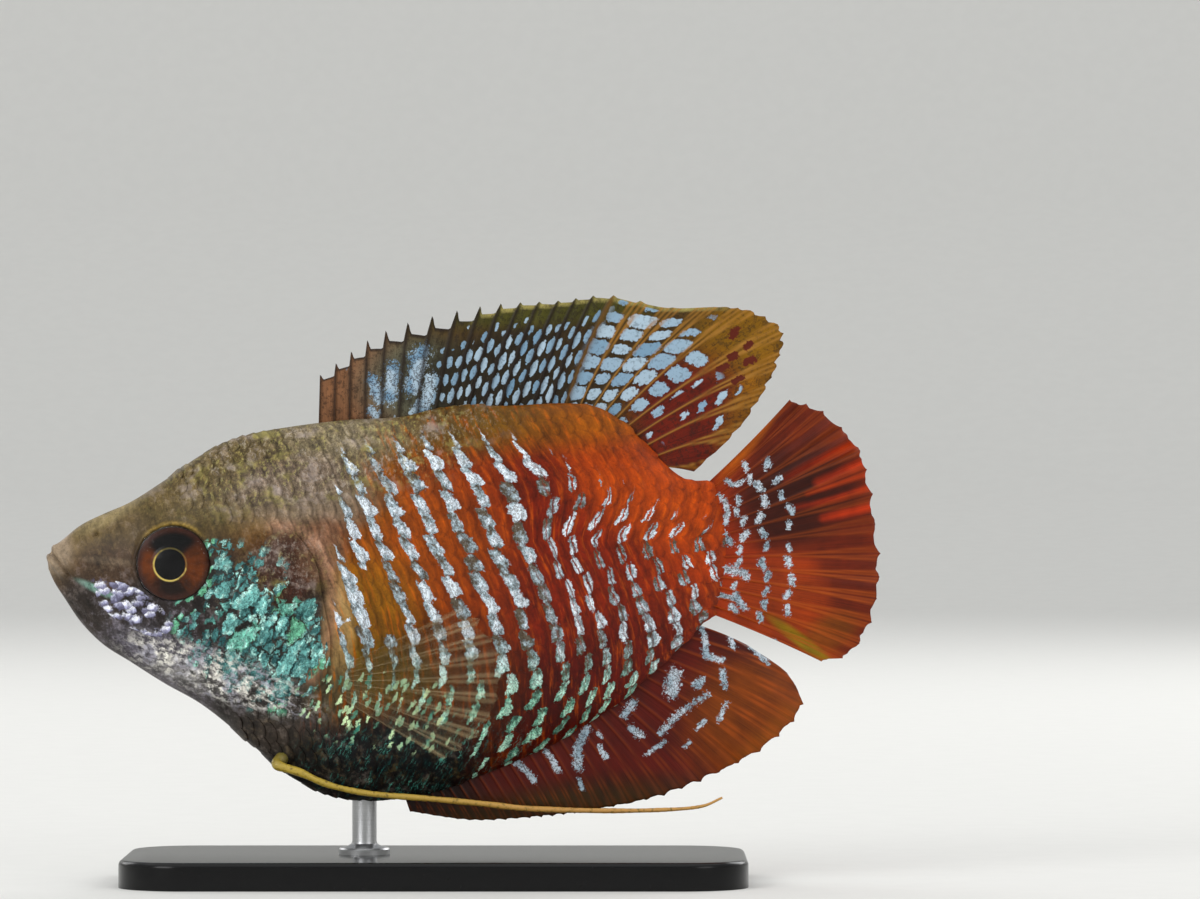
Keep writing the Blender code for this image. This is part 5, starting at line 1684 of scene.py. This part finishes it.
def gill_edge(turn):
    """How far out from its middle the gill cover reaches in a direction."""
    count = len(GILL_REACH)
    reach = [(n, GILL_REACH[n % count]) for n in range(-2, count + 3)]
    return through(reach, turn / (2 * math.pi) * count)


def gill_face(x, z):
    """How far the gill cover's outer face lies off the flank, and how near its edge a place is."""
    dx, dz = x - GILL_MIDDLE[0], z - GILL_MIDDLE[1]
    turn = np.arctan2(dz, dx) % (2 * math.pi)
    far = np.hypot(dx, dz)
    rear = soft_step(x + 0.25 * (np.minimum(z, 21) - 18) - 0.35 * np.maximum(z - 21, 0), 16.5, 23.0)
    height = -GILL_SUNK + (GILL_SUNK + GILL_PROUD) * rear
    height += relief(x, z) * 0.5 * (1 - rear) + 0.05 * np.sin(far * 2.4 + turn * 2) * rear
    return height, far / gill_edge(turn)


def gill_mesh(name, side):
    work = bmesh.new()
    bmesh.ops.create_circle(work, cap_ends=True, cap_tris=True, segments=GILL_AROUND, radius=1)
    for ring in range(2, GILL_RINGS + 1):
        grown = bmesh.ops.extrude_edge_only(work, edges=open_edges(work))["geom"]
        for corner in new_corners(grown):
            corner.co *= ring / (ring - 1)
    for corner in work.verts:
        corner.co.z = 1
    copied = bmesh.ops.extrude_face_region(work, geom=list(work.faces))["geom"]
    for corner in new_corners(copied):
        corner.co.z = -1
    across, up, face = corners_in(work).T
    out = np.hypot(across, up) / GILL_RINGS
    turn = np.arctan2(up, across) % (2 * math.pi)
    far = gill_edge(turn) * out
    x, z = GILL_MIDDLE[0] + far * np.cos(turn), GILL_MIDDLE[1] + far * np.sin(turn)
    height = gill_face(x, z)[0] - GILL_WALL * 0.5 * np.where(face > 0, out**10, -(out**10))
    height -= np.where(face > 0, 0.0, GILL_WALL)
    put_corners(work, np.stack([x, side * (flank(x, z) + height), z], -1))
    return from_work(work, name)


for gill_side, gill_name in SIDES:
    gill_cover = gill_mesh("gill_" + gill_name, gill_side)
    paint(gill_cover)
    linked(
        "gill_flap_" + gill_name, gill_cover, fish_finish,
        "gill_cover_skin", "gill_cover_" + gill_name,
    )


# Cheek scales
# Small thin plates of the same kind as the flank's, in slanting rows over the cheek and the gill
# cover, the smallest on the fish. They stop short of the eye's rim and the gill cover's edge.
CHEEK_MIDDLE, CHEEK_LEAN = (16.0, 17.5), -17.0
CHEEK_PITCH, CHEEK_ROW = 0.95, 0.80
CHEEK_REACH, CHEEK_HALF, CHEEK_RISE = (-0.85, 0.55), 0.64, 0.10
CHEEK_SCALED = [((17.4, 17.8), 8.8, 6.4, -22, 0.1), ((9.6, 17.8), 5.0, 2.6, -28, 0.1)]


def on_cheek(along, row):
    """Places of the side view from their place in the cheek's slanting rows."""
    turn = math.radians(CHEEK_LEAN)
    back_to, up = along * CHEEK_PITCH, row * CHEEK_ROW
    x = CHEEK_MIDDLE[0] + back_to * math.cos(turn) - up * math.sin(turn)
    return x, CHEEK_MIDDLE[1] + back_to * math.sin(turn) + up * math.cos(turn)


def cheek_ground(x, z):
    """How far the skin, or the gill cover where that is over it, lies off the flank."""
    face, share = gill_face(x, z)
    bare = relief(x, z) - SCALE_COAT
    return np.where(share < 1, np.maximum(face, bare), bare)


def cheek_centres():
    columns_and_rows = np.meshgrid(np.arange(-16, 17), np.arange(-13, 14))
    along, row = (side.ravel().astype(float) for side in columns_and_rows)
    along += 0.5 * (row % 2)
    x, z = on_cheek(along, row)
    kept = sum(spot_share(x, z, *spot) for spot in CHEEK_SCALED) > 0.5
    kept &= np.hypot(x - EYE_PLACE[0], z - EYE_PLACE[1]) > EYE_RADIUS + 0.75
    kept &= (z > belly(x) + 0.9) & (x < through(SCALES_START, z) - 0.6)
    share = gill_face(x, z)[1]
    kept &= (share < 0.87) | (share > 1.12)
    return along[kept], row[kept]


for (scale_side, scale_name), scale_seed in zip(SIDES, (13, 14)):
    coat = scale_coat(
        "cheek_scales_" + scale_name, scale_side, scale_seed, cheek_centres(), on_cheek,
        CHEEK_REACH, CHEEK_HALF, CHEEK_RISE, cheek_ground,
    )
    paint(coat)
    linked("cheek_scales_" + scale_name, coat, fish_finish, "gill_cover_skin")


# Display stand
# A polished black acrylic plate with rounded corners and a brushed steel rod, turned in one piece
# with its foot, that stands on the plate with its foot sunk a little into it and runs up into the belly.
BASE_LENGTH, BASE_WIDTH, BASE_THICK = 56.0, 27.0, 2.5
BASE_CORNER, BASE_EDGE = 6.0, 0.5
ROD_BEHIND_SNOUT, ROD_RADIUS, ROD_FOOT_RADIUS, ROD_IN_BELLY = 28.6, 1.1, 2.3, 2.0
ROD_SIDES = 48


def base_mesh():
    work = bmesh.new()
    lifted = Matrix.Translation((0, 0, BASE_THICK / 2))
    sized = Matrix.Diagonal((BASE_LENGTH, BASE_WIDTH, BASE_THICK, 1.0))
    bmesh.ops.create_cube(work, size=1, matrix=lifted @ sized)
    upright = [edge for edge in work.edges if abs(edge.verts[0].co.z - edge.verts[1].co.z) > 1]
    bmesh.ops.bevel(
        work, geom=upright, offset=BASE_CORNER, segments=14, profile=0.5, affect="EDGES", material=-1)
    rim = [edge for edge in work.edges if all(abs(v.co.z - BASE_THICK) < 0.001 for v in edge.verts)]
    bmesh.ops.bevel(work, geom=rim, offset=BASE_EDGE, segments=5, profile=0.5, affect="EDGES", material=-1)
    bmesh.ops.scale(work, vec=(MM, MM, MM), verts=work.verts)
    return from_work(work, "base", 40)


def rod_mesh():
    top = BASE_THICK
    reach = float(belly(ROD_BEHIND_SNOUT)) + ROD_IN_BELLY + KEEL_HEIGHT
    axis = ROD_BEHIND_SNOUT - ORIGIN_BEHIND_SNOUT
    profile = [
        (0.0, top - 0.1), (ROD_FOOT_RADIUS, top - 0.1), (ROD_FOOT_RADIUS, top + 0.45),
        (ROD_FOOT_RADIUS - 0.12, top + 0.6), (ROD_RADIUS + 0.35, top + 0.78),
        (ROD_RADIUS + 0.08, top + 0.95), (ROD_RADIUS, top + 1.2), (ROD_RADIUS, reach), (0.0, reach),
    ]
    work = bmesh.new()
    corners, lines = profile_line(work, [(axis + radius, 0, height) for radius, height in profile])
    turned_round(work, corners + lines, (0, 0, 1), ROD_SIDES, (axis, 0, 0))
    bmesh.ops.remove_doubles(work, verts=work.verts, dist=0.001)
    bmesh.ops.scale(work, vec=(MM, MM, MM), verts=work.verts)
    return from_work(work, "rod", 35)


def acrylic_finish():
    """Polished black plastic with fine hairline scratches and a little dust."""
    f = Finish("black_acrylic")
    place = f.place()
    scratch = f.noise(f.stretched(place, (0.6, 1.6, 1.0)), 2.2, 5.0, 0.7)[0]
    dust = f.noise(place, 1.8, 4.0, 0.75)[0]
    f.surface(
        Base_Color=f.mix(f.ramp(dust, 0.60, 0.80), ink("0b0b0c"), ink("232325")),
        Roughness=f.scaled(f.ramp(scratch, 0.55, 0.80), 0.10, 0.22),
        Normal=f.bumped(scratch, 0.0015 * MM), Coat_Weight=0.04, Coat_Roughness=0.05,
        Specular_IOR_Level=0.22,
    )
    return f.material


def steel_finish():
    """Brushed steel, its fine lines running round the rod."""
    f = Finish("brushed_steel")
    place = f.place()
    lines = f.noise(f.stretched(place, (0.6, 0.6, 26.0)), 1.0, 4.0, 0.7)[0]
    f.surface(
        Base_Color=f.mix(lines, ink("8d8e90"), ink("c2c3c4")), Metallic=1.0,
        Roughness=f.scaled(lines, 0.25, 0.20), Normal=f.bumped(lines, 0.008 * MM),
    )
    return f.material


linked("stand_plate", base_mesh(), acrylic_finish(), "stand_base", "stand_base")
linked("stand_post", rod_mesh(), steel_finish(), "stand_rod", "stand_rod")
